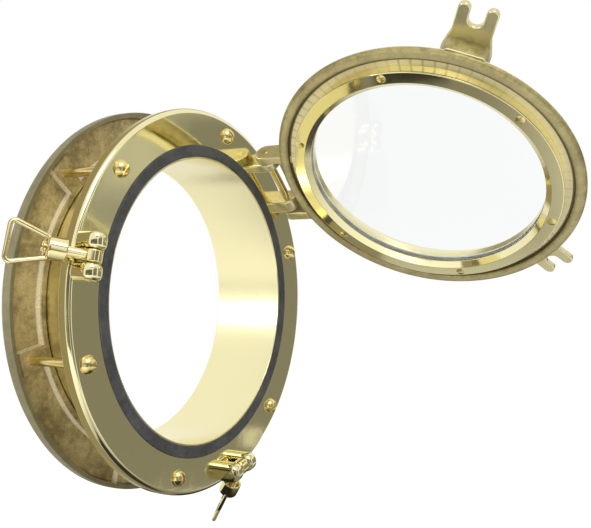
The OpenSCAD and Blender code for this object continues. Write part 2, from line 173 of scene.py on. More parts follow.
@dataclass(frozen=True)
class Layout:
    """Directions round the window, in degrees."""

    hinge_angle: float = 48.2
    dog_turns: Pair = (118.4, -124.2)
    screw_shares: Pair = (0.25, 0.75)

    def dog_angles(self) -> list[float]:
        """Directions of the two dogs."""
        return [self.hinge_angle + turn for turn in self.dog_turns]

    def screw_angles(self) -> np.ndarray:
        """Directions of the screws: shares of the way from hinge to dog, dog to dog and dog to hinge."""
        stops = self.hinge_angle + np.array([0.0, self.dog_turns[0], 360.0 + self.dog_turns[1], 360.0])
        return (stops[:-1, None] + np.diff(stops)[:, None] * np.array(self.screw_shares)).ravel()


# Surfaces


@dataclass
class Surface:
    """Points of a mesh with its quads and triangles, and what each point is marked with."""

    points: np.ndarray
    quads: np.ndarray
    tris: np.ndarray = field(default_factory=lambda: np.zeros((0, 3), int))
    marks: dict[Mark, np.ndarray] = field(default_factory=dict)

    def mark(self, name: Mark, values: np.ndarray | float) -> "Surface":
        """Marks every point with a value, and returns the surface."""
        self.marks[name] = np.broadcast_to(np.asarray(values, float), (len(self.points),)).copy()
        return self

    def moved(self, points: np.ndarray) -> "Surface":
        """The same faces and marks on other points."""
        return Surface(points, self.quads, self.tris, self.marks)

    def spun(self, degrees: float) -> "Surface":
        """The surface turned about the window's axis."""
        return self.moved(self.points @ turn_about(Z_AXIS, degrees).T)

    def stood(self, side: int = 1) -> "Surface":
        """The surface with its heights laid along y, towards one side."""
        return self.moved(self.points[:, [0, 2, 1]] * np.array([1.0, side, 1.0]))

    def radius(self) -> np.ndarray:
        """Distance of each point from the window's axis."""
        return np.hypot(self.points[:, 0], self.points[:, 1])

    def outward(self) -> "Surface":
        """Turns the faces outwards: the volume by the divergence theorem is then positive.

        Returns:
            The same surface.
        """
        p = self.points
        t = np.concatenate([self.quads[:, [0, 1, 2]], self.quads[:, [0, 2, 3]], self.tris])
        if np.einsum("ij,ij->", p[t[:, 0]], np.cross(p[t[:, 1]], p[t[:, 2]])) < 0:
            self.quads = self.quads[:, ::-1]
            self.tris = self.tris[:, ::-1]
        return self


def joined(surfaces: list[Surface]) -> Surface:
    """One surface from several closed ones.

    Args:
        surfaces: closed surfaces; a mark that one of them lacks counts as zero there.

    Returns:
        The joined surface, each part facing outwards.
    """
    starts = np.cumsum([0] + [len(s.points) for s in surfaces[:-1]])
    parts = [s.outward() for s in surfaces]
    names = {name for s in parts for name in s.marks}
    return Surface(
        np.concatenate([s.points for s in parts]),
        np.concatenate([s.quads + k for s, k in zip(parts, starts)]),
        np.concatenate([s.tris + k for s, k in zip(parts, starts)]),
        {n: np.concatenate([s.marks.get(n, np.zeros(len(s.points))) for s in parts]) for n in names},
    )


def quad_net(rows: int, cols: int, close_rows: bool, close_cols: bool) -> np.ndarray:
    """Quads between neighbouring points of a grid stored row by row.

    Args:
        rows: number of rows.
        cols: number of columns.
        close_rows: whether the last row joins the first.
        close_cols: whether the last column joins the first.

    Returns:
        An array of point numbers, four to a quad.
    """
    row_starts = np.arange(rows if close_rows else rows - 1)
    col_starts = np.arange(cols if close_cols else cols - 1)
    r0, c0 = np.meshgrid(row_starts, col_starts, indexing="ij")
    r1, c1 = (r0 + 1) % rows, (c0 + 1) % cols
    net = np.stack([r0 * cols + c0, r1 * cols + c0, r1 * cols + c1, r0 * cols + c1], axis=-1)
    return net.reshape(-1, 4)


def end_caps(outline: np.ndarray, rows: int) -> np.ndarray:
    """Triangles that close both ends of a tube of rows that all have the outline's points.

    Args:
        outline: flat outline of the end, which may be hollow in places.
        rows: number of rows of the tube.

    Returns:
        Triangles of the first row, and those of the last row the other way round.
    """
    cols = len(outline)
    flat = np.concatenate([outline, np.zeros((cols, 1))], axis=1)
    tris = np.array(tessellate_polygon([flat.tolist()]))
    a, b, c = (outline[tris[:, k]] for k in range(3))
    turn = (b - a)[:, 0] * (c - a)[:, 1] - (b - a)[:, 1] * (c - a)[:, 0]
    x, y = outline[:, 0], outline[:, 1]
    way = np.sign(np.sum(x * np.roll(y, -1) - np.roll(x, -1) * y))
    tris = np.where((turn * way < 0)[:, None], tris[:, ::-1], tris)
    return np.concatenate([tris, tris[:, ::-1] + (rows - 1) * cols])


def tube(points: np.ndarray, outline: np.ndarray) -> Surface:
    """Closed tube from a grid of points, one row to an outline, with capped ends.

    Args:
        points: grid of points, in rows.
        outline: flat outline that the ends are capped by.

    Returns:
        The closed tube.
    """
    rows, cols = points.shape[:2]
    return Surface(points.reshape(-1, 3), quad_net(rows, cols, False, True), end_caps(outline, rows))


def rounded(corners: list[Corner], steps: int = 6, support: float = 0.0) -> np.ndarray:
    """Closed outline through corners that are rounded off.

    Each corner (x, y, radius) becomes an arc that is tangent to its two sides. The arc's centre
    lies on the bisector at radius / sin(half angle). With support, each arc gets one more point
    on either side, that far along the straight, which keeps flat faces flat under smooth shading.

    Args:
        corners: x, y and rounding radius of each corner.
        steps: points of each arc.
        support: length of the straight kept beside each arc.

    Returns:
        Outline points, one row each.
    """
    data = np.array(corners, float)
    at, radius = data[:, :2], data[:, 2]
    back = unit(np.roll(at, 1, axis=0) - at)
    ahead = unit(np.roll(at, -1, axis=0) - at)
    half = 0.5 * np.arccos(np.clip((back * ahead).sum(1), -1, 1))
    reach = (radius / np.tan(half))[:, None]
    centre = at + unit(back + ahead) * (radius / np.sin(half))[:, None]
    start, stop = at + back * reach - centre, at + ahead * reach - centre
    angle = np.arctan2(start[:, 1], start[:, 0])
    turned = start[:, 0] * stop[:, 1] - start[:, 1] * stop[:, 0]
    sweep = np.arctan2(turned, (start * stop).sum(1))
    along = angle[:, None] + sweep[:, None] * np.linspace(0, 1, steps)[None, :]
    arcs = centre[:, None, :] + radius[:, None, None] * np.stack([np.cos(along), np.sin(along)], -1)
    if support > 0:
        before = arcs[:, :1] + support * back[:, None, :]
        after = arcs[:, -1:] + support * ahead[:, None, :]
        arcs = np.concatenate([before, arcs, after], axis=1)
    return arcs.reshape(-1, 2)


def box_outline(
    sides: Pair, heights: Pair, rounds: Rounds, steps: int = 6, support: float = 0.0
) -> np.ndarray:
    """Closed outline of a rectangle with rounded corners, counterclockwise from its lower left.

    Args:
        sides: left and right side.
        heights: lower and upper side.
        rounds: radii of the corners, in the outline's order.
        steps: points of each arc.
        support: length of the straight kept beside each arc.

    Returns:
        Outline points, one row each.
    """
    (left, right), (low, high) = sides, heights
    places = ((left, low), (right, low), (right, high), (left, high))
    return rounded([(*place, radius) for place, radius in zip(places, rounds)], steps, support)


def revolved(profile: np.ndarray, steps: int) -> Surface:
    """Ring whose closed section (radius, height) is carried round the axis.

    A point is (r cos a, r sin a, z) for the section's r, z and the angle a of the row.

    Args:
        profile: outline of the section.
        steps: number of rows round the axis.

    Returns:
        The closed ring.
    """
    a = turns(steps)
    r, z = profile[:, 0], profile[:, 1]
    heights = np.broadcast_to(z, (steps, len(z)))
    points = np.stack([np.outer(np.cos(a), r), np.outer(np.sin(a), r), heights], -1)
    return Surface(points.reshape(-1, 3), quad_net(steps, len(z), True, True))


def slab(outline: np.ndarray, low: float, high: float, bevel: float) -> Surface:
    """Plate with rounded edges: an outline carried along z and drawn in near both faces.

    At the share t of a quarter turn the outline is drawn in by bevel (1 - sin t) and has risen by
    bevel (1 - cos t). One more row inside each face keeps the face flat under smooth shading.

    Args:
        outline: closed outline, counterclockwise.
        low: height of the lower face.
        high: height of the upper face.
        bevel: radius of the edges.

    Returns:
        The closed plate.
    """
    steps, face_share = 5, 1.25
    run = unit(np.roll(outline, -1, axis=0) - np.roll(outline, 1, axis=0))
    inward = np.stack([-run[:, 1], run[:, 0]], axis=1)
    t = np.linspace(0, np.pi / 2, steps)
    inset = np.concatenate([[face_share * bevel], bevel * (1 - np.sin(t))])
    rise = np.concatenate([[0.0], bevel * (1 - np.cos(t))])
    inset = np.concatenate([inset, inset[::-1]])
    level = np.concatenate([low + rise, (high - rise)[::-1]])
    flat = outline[None] + inset[:, None, None] * inward[None]
    heights = np.broadcast_to(level[:, None, None], flat.shape[:2] + (1,))
    surface = tube(np.concatenate([flat, heights], -1), flat[0])
    # Bevels are marked so that the finish lightens them: partly worn metal, partly a painted highlight
    edge = np.concatenate([[0.0], np.sin(2 * t), np.sin(2 * t)[::-1], [0.0]])
    return surface.mark(Mark.EDGE, np.repeat(edge, len(outline)))


def cheeks(outline: np.ndarray, inners: Pair, outers: Pair, bevel: float) -> list[Surface]:
    """Plates on either side of the middle, short of the ends of the pin that passes through them.

    Args:
        outline: outline of both plates, by radius and height.
        inners: distance of each inner face from the middle.
        outers: distance of each end of the pin from the middle.
        bevel: radius of the edges.

    Returns:
        Both plates.
    """
    pin_show = 0.2
    spans = zip((1, -1), inners, outers)
    return [slab(outline, inner, outer - pin_show, bevel).stood(side) for side, inner, outer in spans]


def swept(path: np.ndarray, normal: np.ndarray, section: np.ndarray) -> Surface:
    """Bar of constant section carried along a flat path, with capped ends.

    The section's first axis lies in the path's plane, across the path, and its second axis along
    the plane's normal.

    Args:
        path: points of the centre line.
        normal: unit normal of the path's plane.
        section: closed outline of the section.

    Returns:
        The closed bar.
    """
    across = np.cross(normal, unit(np.gradient(path, axis=0)))
    points = path[:, None] + section[None, :, :1] * across[:, None] + section[None, :, 1:] * normal
    return tube(points, section)


# Objects


def linked(name: str, data: bpy.types.ID) -> bpy.types.Object:
    """New object in the scene.

    Args:
        name: name of the object.
        data: its mesh, lamp or camera.

    Returns:
        The object.
    """
    made = bpy.data.objects.new(name, data)
    bpy.context.scene.collection.objects.link(made)
    return made


def dress(piece: bpy.types.Object, material: bpy.types.Material) -> None:
    """Gives a piece one material."""
    piece.data.materials.clear()
    piece.data.materials.append(material)


def dress_node(name: str, material: bpy.types.Material) -> None:
    """Gives a solid that stays in view its material."""
    dress(frame["nodes"][name], material)
    LOG.info("%s is dressed as %s", name, material.name)


def made_piece(name: str, surface: Surface, place: Placement) -> bpy.types.Object:
    """Object from a surface, with its place in its mesh and its marks as attributes.

    Args:
        name: name of the piece.
        surface: closed surface on the bench.
        place: where the piece stands.

    Returns:
        The new object.
    """
    surface.outward()
    mesh = bpy.data.meshes.new(name)
    faces = surface.quads.tolist() + surface.tris.tolist()
    mesh.from_pydata(place.world(surface.points).tolist(), [], faces)
    mesh.polygons.foreach_set("use_smooth", np.ones(len(mesh.polygons), bool))
    mesh.set_sharp_from_angle(angle=math.radians(SHARP_DEG))
    for mark, values in surface.marks.items():
        layer = mesh.attributes.new(mark.value, "FLOAT", "POINT")
        layer.data.foreach_set("value", values.astype(np.float32))
    bench = mesh.attributes.new(Mark.BENCH.value, "FLOAT_VECTOR", "POINT")
    bench.data.foreach_set("vector", surface.points.astype(np.float32).ravel())
    mesh.update()
    return linked(name, mesh)


def hand_over(piece: bpy.types.Object, material: bpy.types.Material, body: str, node: str) -> None:
    """Dresses a new piece, ties it to its body and hides the solid that it stands for.

    Args:
        piece: the new piece.
        material: what it is dressed with.
        body: body that it moves with.
        node: solid that it replaces.
    """
    dress(piece, material)
    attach(piece, body)
    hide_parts(node)
    LOG.info("%s rides on %s", piece.name, body)


# Shader graphs


@dataclass
class Graph:
    """Short-hand for building a node tree."""

    tree: bpy.types.NodeTree

    def put(self, node: bpy.types.Node, inputs: dict) -> bpy.types.Node:
        """Sets inputs of a node.

        Args:
            node: the node.
            inputs: values, or output sockets to link from, by the input's name or number.

        Returns:
            The same node.
        """
        for key, value in inputs.items():
            if isinstance(value, Socket):
                self.tree.links.new(value, node.inputs[key])
            else:
                node.inputs[key].default_value = value
        return node

    def node(self, kind: str, inputs: dict | None = None, **settings: object) -> bpy.types.Node:
        """Adds a node.

        Args:
            kind: Blender's type of the node, without its first words.
            inputs: values or sockets by the input's name or number.
            settings: properties of the node.

        Returns:
            The new node.
        """
        made = self.tree.nodes.new("ShaderNode" + kind)
        for key, value in settings.items():
            setattr(made, key, value)
        return self.put(made, inputs or {})

    def math(self, operation: str, *values: object) -> Socket:
        """Result of a math node."""
        return self.node("Math", dict(enumerate(values)), operation=operation).outputs[0]

    def times(self, first: object, second: object) -> Socket:
        """Product of two values."""
        return self.math("MULTIPLY", first, second)

    def scaled(self, value: object, factor: object, start: object) -> Socket:
        """Start plus factor times value."""
        return self.math("MULTIPLY_ADD", value, factor, start)

    def spread(self, value: Socket, source: Range, target: Range = (0.0, 1.0)) -> Socket:
        """Value carried smoothly from one range to another, and held at its ends."""
        inputs = dict(zip(("Value", "From Min", "From Max", "To Min", "To Max"), (value, *source, *target)))
        return self.node("MapRange", inputs, interpolation_type="SMOOTHSTEP").outputs["Result"]

    def band(self, value: Socket, band: Band) -> Socket:
        """Mask that rises from 0 to 1 over the band's first range and falls over its second."""
        return self.times(self.spread(value, band[0]), self.spread(value, band[1], (1.0, 0.0)))

    def mix(self, share: object, first: Socket | Colour, second: Socket | Colour) -> Socket:
        """Colour between two colours, on the node's colour sockets."""
        a, b = (end if isinstance(end, Socket) else (*end, 1.0) for end in (first, second))
        return self.node("Mix", {0: share, 6: a, 7: b}, data_type="RGBA").outputs[2]

    def mix_values(self, share: Socket, first: Socket, second: Socket) -> Socket:
        """Value between two values, on the node's value sockets."""
        return self.node("Mix", {0: share, 2: first, 3: second}, data_type="FLOAT").outputs[0]

    def noise(self, vector: Socket, noise: Noise) -> Socket:
        """Noise at a vector, by its scale, detail and roughness."""
        inputs = dict(zip(("Vector", "Scale", "Detail", "Roughness"), (vector, *noise)))
        return self.node("TexNoise", inputs).outputs[0]

    def radius(self, vector: Socket) -> Socket:
        """Distance of a bench point from the window's axis.

        Args:
            vector: the point.

        Returns:
            The length of its x and y.
        """
        x, y, _ = self.node("SeparateXYZ", {0: vector}).outputs
        flat = self.node("CombineXYZ", {0: x, 1: y}).outputs[0]
        return self.node("VectorMath", {0: flat}, operation="LENGTH").outputs["Value"]

    def bump(self, height: Socket) -> Socket:
        """Normal of a height in mm."""
        return self.node("Bump", {"Height": height, "Strength": 1.0, "Distance": MM}).outputs[0]

    def mark(self, mark: Mark, output: str = "Fac") -> Socket:
        """One of the mesh's marks."""
        return self.node("Attribute", attribute_name=mark.value).outputs[output]

    def place_mm(self) -> Socket:
        """Object coordinates in mm."""
        place = self.node("TexCoord").outputs["Object"]
        return self.node("VectorMath", {0: place, "Scale": 1 / MM}, operation="SCALE").outputs[0]

    def effect(self, group: bpy.types.NodeTree, vector: Socket) -> dict[str, Socket]:
        """Results of a shared effect at a vector, by name."""
        made = self.node("Group", {"Vector": vector}, node_tree=group)
        return {output.name: output for output in made.outputs}


def new_group(name: str) -> tuple[Graph, Socket]:
    """Empty shader group with one vector as its input.

    Args:
        name: name of the group.

    Returns:
        The group's graph and its vector.
    """
    group = bpy.data.node_groups.new(name, "ShaderNodeTree")
    group.interface.new_socket("Vector", in_out="INPUT", socket_type="NodeSocketVector")
    return Graph(group), group.nodes.new("NodeGroupInput").outputs["Vector"]


def close_group(g: Graph, **values: Socket) -> bpy.types.NodeTree:
    """Gives a group its results as outputs.

    Args:
        g: the group's graph.
        values: results by name.

    Returns:
        The group.
    """
    for key in values:
        g.tree.interface.new_socket(key, in_out="OUTPUT", socket_type="NodeSocketFloat")
    g.put(g.tree.nodes.new("NodeGroupOutput"), values)
    return g.tree


def new_material(name: str) -> tuple[bpy.types.Material, Graph]:
    """New material that uses nodes, and the graph of its nodes.

    Args:
        name: name of the material.

    Returns:
        The material and its graph.
    """
    made = bpy.data.materials.new(name)
    made.use_nodes = True
    return made, Graph(made.node_tree)


@dataclass
class SharedEffects:
    """Shader groups that several finishes use, each built once.

    A noise is its scale per mm, its detail and its roughness. A band is the range of radii in mm
    over which it rises and the range over which it falls.
    """

    blotch: Noise = (0.045, 4.0, 0.6)
    patch: Noise = (0.22, 4.0, 0.65)
    grain: Noise = (1.3, 3.0, 0.6)
    blotch_share: float = 0.55
    grain_share: float = 0.6
    tone_range: Range = (0.33, 0.67)
    tool_mark: Noise = (1.6, 2.0, 0.5)
    wipe: Noise = (0.07, 4.0, 0.6)
    wipe_range: Range = (0.45, 0.75)
    wave: Noise = (0.12, 2.0, 0.5)
    face: Band = ((97.6, 98.4), (102.4, 103.0))
    groove: Band = ((102.2, 102.9), (104.3, 105.0))
    crest: Band = ((104.6, 106.2), (108.5, 110.6))
    tick_count: int = 80
    tick_half_share: float = 0.17
    tick_change: Noise = (0.016, 2.0, 0.55)
    tick_range: Range = (0.36, 0.6)
    tick_depths: Range = (0.15, 1.0)

    def __post_init__(self) -> None:
        """Builds the groups."""
        self.cast_skin = self._cast_skin()
        self.turned_lines = self._turned_lines()
        self.handling = self._handling()
        self.seat_rings = self._seat_rings()

    def _cast_skin(self) -> bpy.types.NodeTree:
        """Sand-cast skin: blotches of tone, and a height of grains and shallow pits.

        Returns:
            The group.
        """
        g, v = new_group("cast_skin")
        blotch, patch, grain = (g.noise(v, noise) for noise in (self.blotch, self.patch, self.grain))
        tone = g.scaled(blotch, self.blotch_share, g.times(patch, 1 - self.blotch_share))
        height = g.scaled(grain, self.grain_share, g.times(patch, 1 - self.grain_share))
        return close_group(g, Tone=g.spread(tone, self.tone_range), Height=height, Speck=grain)

    def _turned_lines(self) -> bpy.types.NodeTree:
        """Fine rings left by a lathe tool: noise that changes with radius and height only.

        Returns:
            The group.
        """
        g, v = new_group("turned_lines")
        height = g.node("SeparateXYZ", {0: v}).outputs[2]
        across = g.node("CombineXYZ", {0: g.radius(v), 1: height}).outputs[0]
        return close_group(g, Height=g.noise(across, self.tool_mark))

    def _handling(self) -> bpy.types.NodeTree:
        """Faint dulling of a polished face, in soft wipes.

        Returns:
            The group.
        """
        g, v = new_group("handling_marks")
        wipe = g.spread(g.noise(v, self.wipe), self.wipe_range)
        return close_group(g, Dulling=wipe, Ripple=g.noise(v, self.wave))

    def _seat_rings(self) -> bpy.types.NodeTree:
        """Rings of the leaf's inner face, by radius, and chatter marks across them, by angle.

        Returns:
            The group.
        """
        g, v = new_group("seat_rings")
        radius = g.radius(v)
        face, groove, crest = (g.band(radius, band) for band in (self.face, self.groove, self.crest))
        x, y, _ = g.node("SeparateXYZ", {0: v}).outputs
        steps = g.times(g.math("ARCTAN2", y, x), self.tick_count / (2 * math.pi))
        ticks = g.spread(g.math("PINGPONG", steps, 0.5), (0.0, self.tick_half_share), (1.0, 0.0))
        depth = g.spread(g.noise(v, self.tick_change), self.tick_range, self.tick_depths)
        return close_group(g, Face=face, Groove=groove, Crest=crest, Ticks=g.times(ticks, depth))


# Finishes


@dataclass(frozen=True)
class Finish:
    """Named material of a piece, which each kind of finish paints in its own way."""

    name: str

    def material(self, effects: SharedEffects) -> bpy.types.Material:
        """New material, painted.

        Args:
            effects: the shared shader groups.

        Returns:
            The material.
        """
        made, g = new_material(self.name)
        g.put(made.node_tree.nodes["Principled BSDF"], self.paint(g, effects))
        return made

    def paint(self, g: Graph, effects: SharedEffects) -> dict:
        """What the shader's inputs get.

        Args:
            g: the material's graph.
            effects: the shared shader groups.

        Returns:
            Values and sockets by the input's name.
        """
        raise NotImplementedError


@dataclass(frozen=True)
class BrassFinish(Finish):
    """Brass that is a mirror where nothing marks it, satin where only turned, brown where as cast."""

    polished: Colour = (0.87, 0.80, 0.46)
    turned: Colour = (0.90, 0.83, 0.49)
    cast_dark: Colour = (0.31, 0.235, 0.10)
    cast_light: Colour = (0.66, 0.55, 0.29)
    deep_share: float = 0.5
    mirror_rough: float = 0.07
    satin_rough: float = 0.22
    cast_rough: float = 0.38
    wipe_rough: float = 0.05
    speck_rough: float = 0.16
    edge_polish: float = 0.22
    speck_range: Range = (0.50, 0.66)
    grain_bump: float = 0.16
    grain_tone: float = 0.45
    ripple: float = 0.02
    cast_dull: float = 0.5
    line_bump: float = 0.05

    def paint(self, g: Graph, effects: SharedEffects) -> dict:
        """Mix of the three states by the mesh's marks.

        Args:
            g: the material's graph.
            effects: the shared shader groups.

        Returns:
            Values and sockets by the input's name.
        """
        bench = g.mark(Mark.BENCH, "Vector")
        satin, cast, edge = (g.mark(mark) for mark in (Mark.SATIN, Mark.CAST, Mark.EDGE))
        skin = g.effect(effects.cast_skin, bench)
        lines = g.effect(effects.turned_lines, bench)
        wipes = g.effect(effects.handling, bench)
        raw = g.mix(skin["Tone"], self.cast_dark, self.cast_light)
        deep = tuple(self.deep_share * c for c in self.cast_dark)
        raw = g.mix(g.spread(skin["Speck"], self.speck_range, (0.0, self.grain_tone)), raw, deep)
        raw, relief = self.worked(g, effects, bench, raw)
        # Marked edges and walls take the turned colour: partly worn metal, partly a painted highlight
        raw = g.mix(edge, raw, self.turned)
        colour = g.mix(cast, g.mix(satin, self.polished, self.turned), raw)
        smooth = g.scaled(wipes["Dulling"], self.wipe_rough, self.mirror_rough)
        smooth = g.scaled(satin, self.satin_rough - self.mirror_rough, smooth)
        rough = g.scaled(skin["Speck"], self.speck_rough, self.cast_rough)
        rough = g.scaled(edge, -self.edge_polish, rough)
        ridges = g.times(lines["Height"], g.times(satin, self.line_bump))
        sand = g.times(skin["Height"], g.times(cast, self.grain_bump))
        sand = g.scaled(relief, cast, sand)
        height = g.scaled(wipes["Ripple"], self.ripple, g.math("ADD", ridges, sand))
        return {
            "Base Color": colour,
            "Roughness": g.mix_values(cast, smooth, rough),
            "Normal": g.bump(height),
            "Metallic": g.scaled(cast, -self.cast_dull, 1.0),
        }

    def worked(
        self, g: Graph, effects: SharedEffects, bench: Socket, raw: Socket
    ) -> tuple[Socket, Socket | float]:
        """Colour of the cast skin after any later work on it, and the height of that work."""
        return raw, 0.0


@dataclass(frozen=True)
class SeatFinish(BrassFinish):
    """Cast brass turned in rings inside: a pale face with chatter, a groove and a bead; painted shade in
    groove and ticks.
    """

    pale: Colour = (0.86, 0.77, 0.48)
    # Dark colour of the painted shade in the groove and the chatter ticks
    painted_shade: Colour = (0.10, 0.075, 0.035)
    crest_share: float = 0.25
    face_share: float = 0.9
    tick_share: float = 0.55
    groove_share: float = 0.92
    tick_height: float = 0.10

    def worked(
        self, g: Graph, effects: SharedEffects, bench: Socket, raw: Socket
    ) -> tuple[Socket, Socket | float]:
        """Rings laid over the cast skin, with painted shade darkening the groove and the chatter ticks.

        Args:
            g: the material's graph.
            effects: the shared shader groups.
            bench: bench coordinates.
            raw: colour of the cast skin.

        Returns:
            The new colour, and the height of the chatter marks.
        """
        rings = g.effect(effects.seat_rings, bench)
        ticks = g.times(rings["Ticks"], rings["Face"])
        # Groove and ticks are pulled towards the dark colour: painted shade in the crease and the small
        # recesses
        layers = (
            (rings["Crest"], self.crest_share, self.pale), (rings["Face"], self.face_share, self.pale),
            (ticks, self.tick_share, self.painted_shade), (rings["Groove"], self.groove_share, self.painted_shade),
        )
        for mask, share, colour in layers:
            raw = g.mix(g.times(mask, share), raw, colour)
        return raw, g.times(ticks, -self.tick_height)


@dataclass(frozen=True)
class RimFinish(BrassFinish):
    """Cast brass with a painted dark reflection on its rim and a painted shadow line by the pockets."""

    # Dark colour of the rim: a painted dark reflection
    painted_dark_reflection: Colour = (0.20, 0.185, 0.10)
    # Dark colour of the painted shadow line beside the pockets
    painted_shade: Colour = (0.10, 0.08, 0.04)
    shadow_line_band: Band = ((133.2, 134.6), (135.2, 135.7))
    shadow_line_share: float = 0.75
    rim_range: Range = (135.3, 135.8)
    rim_share: float = 0.8

    def worked(
        self, g: Graph, effects: SharedEffects, bench: Socket, raw: Socket
    ) -> tuple[Socket, Socket | float]:
        """Painted dark reflection on the rim and painted shadow line inside it, laid over the cast skin, by
        radius.

        Args:
            g: the material's graph.
            effects: the shared shader groups; not used here.
            bench: bench coordinates.
            raw: colour of the cast skin.

        Returns:
            The new colour, and no height.
        """
        radius = g.radius(bench)
        # Painted shadow line along the pockets, then the painted dark reflection on the rim
        raw = g.mix(g.times(g.band(radius, self.shadow_line_band), self.shadow_line_share), raw, self.painted_shade)
        return g.mix(g.spread(radius, self.rim_range, (0.0, self.rim_share)), raw, self.painted_dark_reflection), 0.0


@dataclass(frozen=True)
class FittingFinish(Finish):
    """Bright brass of screws and pins, on object coordinates, because they come without marks."""

    colour: Colour = (0.88, 0.72, 0.30)
    dull_share: float = 0.8
    blotch_share: float = 0.5
    rough: float = 0.2
    wipe_rough: float = 0.08

    def paint(self, g: Graph, effects: SharedEffects) -> dict:
        """Brass that is duller in blotches and rougher in wipes.

        Args:
            g: the material's graph.
            effects: the shared shader groups.

        Returns:
            Values and sockets by the input's name.
        """
        place = g.place_mm()
        skin, wipes = g.effect(effects.cast_skin, place), g.effect(effects.handling, place)
        dull = tuple(self.dull_share * c for c in self.colour)
        return {
            "Base Color": g.mix(g.times(skin["Tone"], self.blotch_share), self.colour, dull),
            "Roughness": g.scaled(wipes["Dulling"], self.wipe_rough, self.rough),
            "Metallic": 1.0,
        }


@dataclass(frozen=True)
class RubberFinish(Finish):
    """Dull rubber with a faint bloom, on object coordinates."""

    dark: Colour = (0.034, 0.035, 0.034)
    bloom: Colour = (0.078, 0.079, 0.075)
    rough: float = 0.52
    speck_rough: float = 0.2
    grain_bump: float = 0.12

    def paint(self, g: Graph, effects: SharedEffects) -> dict:
        """Rubber with a fine grain.

        Args:
            g: the material's graph.
            effects: the shared shader groups.

        Returns:
            Values and sockets by the input's name.
        """
        skin = g.effect(effects.cast_skin, g.place_mm())
        return {
            "Base Color": g.mix(skin["Tone"], self.dark, self.bloom),
            "Roughness": g.scaled(skin["Speck"], self.speck_rough, self.rough),
            "Normal": g.bump(g.times(skin["Height"], self.grain_bump)),
        }


@dataclass(frozen=True)
class GlassFinish(Finish):
    """Clear plate glass with a trace of dust in its roughness, on object coordinates."""

    tint: Colour = (0.97, 0.985, 0.98)
    index: float = 1.5
    shine: float = 0.15
    dust_rough: float = 0.015

    def paint(self, g: Graph, effects: SharedEffects) -> dict:
        """Glass that is clear right through.

        Args:
            g: the material's graph.
            effects: the shared shader groups.

        Returns:
            Values and sockets by the input's name.
        """
        wipes = g.effect(effects.handling, g.place_mm())
        return {
            "Base Color": (*self.tint, 1.0),
            "Roughness": g.times(wipes["Dulling"], self.dust_rough),
            "Transmission Weight": 1.0,
            "IOR": self.index,
            "Specular IOR Level": self.shine,
        }


@dataclass
class Finishes:
    """Every finish of the window, made once."""

    effects: SharedEffects

    def __post_init__(self) -> None:
        """Makes the materials."""
        e = self.effects
        self.frame_brass = BrassFinish("polished_brass").material(e)
        leaf_cast = {"cast_dark": (0.26, 0.21, 0.075), "cast_light": (0.50, 0.425, 0.18)}
        self.leaf_brass = SeatFinish("leaf_brass", **leaf_cast).material(e)
        self.ring_brass = BrassFinish("ring_brass").material(e)
        ring_cast = {"cast_dark": (0.27, 0.21, 0.09), "cast_light": (0.72, 0.59, 0.30), "cast_dull": 0.6}
        # On the all-cast ring the pale turned colour shows only on marked edges and pocket walls: partly
        # wear, partly a painted highlight
        self.cast_brass = RimFinish("cast_brass", turned=(1.0, 0.93, 0.70), **ring_cast).material(e)
        self.dog_brass = BrassFinish("dog_brass", polished=(0.88, 0.77, 0.40)).material(e)
        self.bright_brass = FittingFinish("bright_brass").material(e)
        self.rubber = RubberFinish("seal_rubber").material(e)
        pale = {"dark": (0.76, 0.77, 0.70), "bloom": (0.84, 0.85, 0.78)}
        self.bedding = RubberFinish("bedding", **pale).material(e)
        self.glass = GlassFinish("window_glass").material(e)


# Sub-assemblies


@dataclass(frozen=True)
class Lugs:
    """Pair of lugs on the flange, each a plate with a round head about a pin."""

    pin_r: float
    pin_z: float
    eye_r: float
    inner: float
    outers: Pair
    foot_z: float = 4.0
    foot_round: float = 2.8
    bevel: float = 1.6
    cast: float = 0.0

    def pair(self, angle: float) -> Surface:
        """Two lugs at a direction round the window.

        Args:
            angle: direction of the pair, in degrees.

        Returns:
            Both plates.
        """
        sides = (self.pin_r - self.eye_r, self.pin_r + self.eye_r)
        heights = (self.foot_z, self.pin_z + self.eye_r)
        foot, head = self.foot_round, self.eye_r - TRIM
        outline = box_outline(sides, heights, (foot, foot, head, head), steps=16)
        plates = cheeks(outline, (self.inner, self.inner), self.outers, self.bevel)
        return joined(plates).spun(angle).mark(Mark.CAST, self.cast)


@dataclass
class SubAssembly:
    """Part of the window that makes its own pieces and dresses them."""

    layout: Layout
    finishes: Finishes


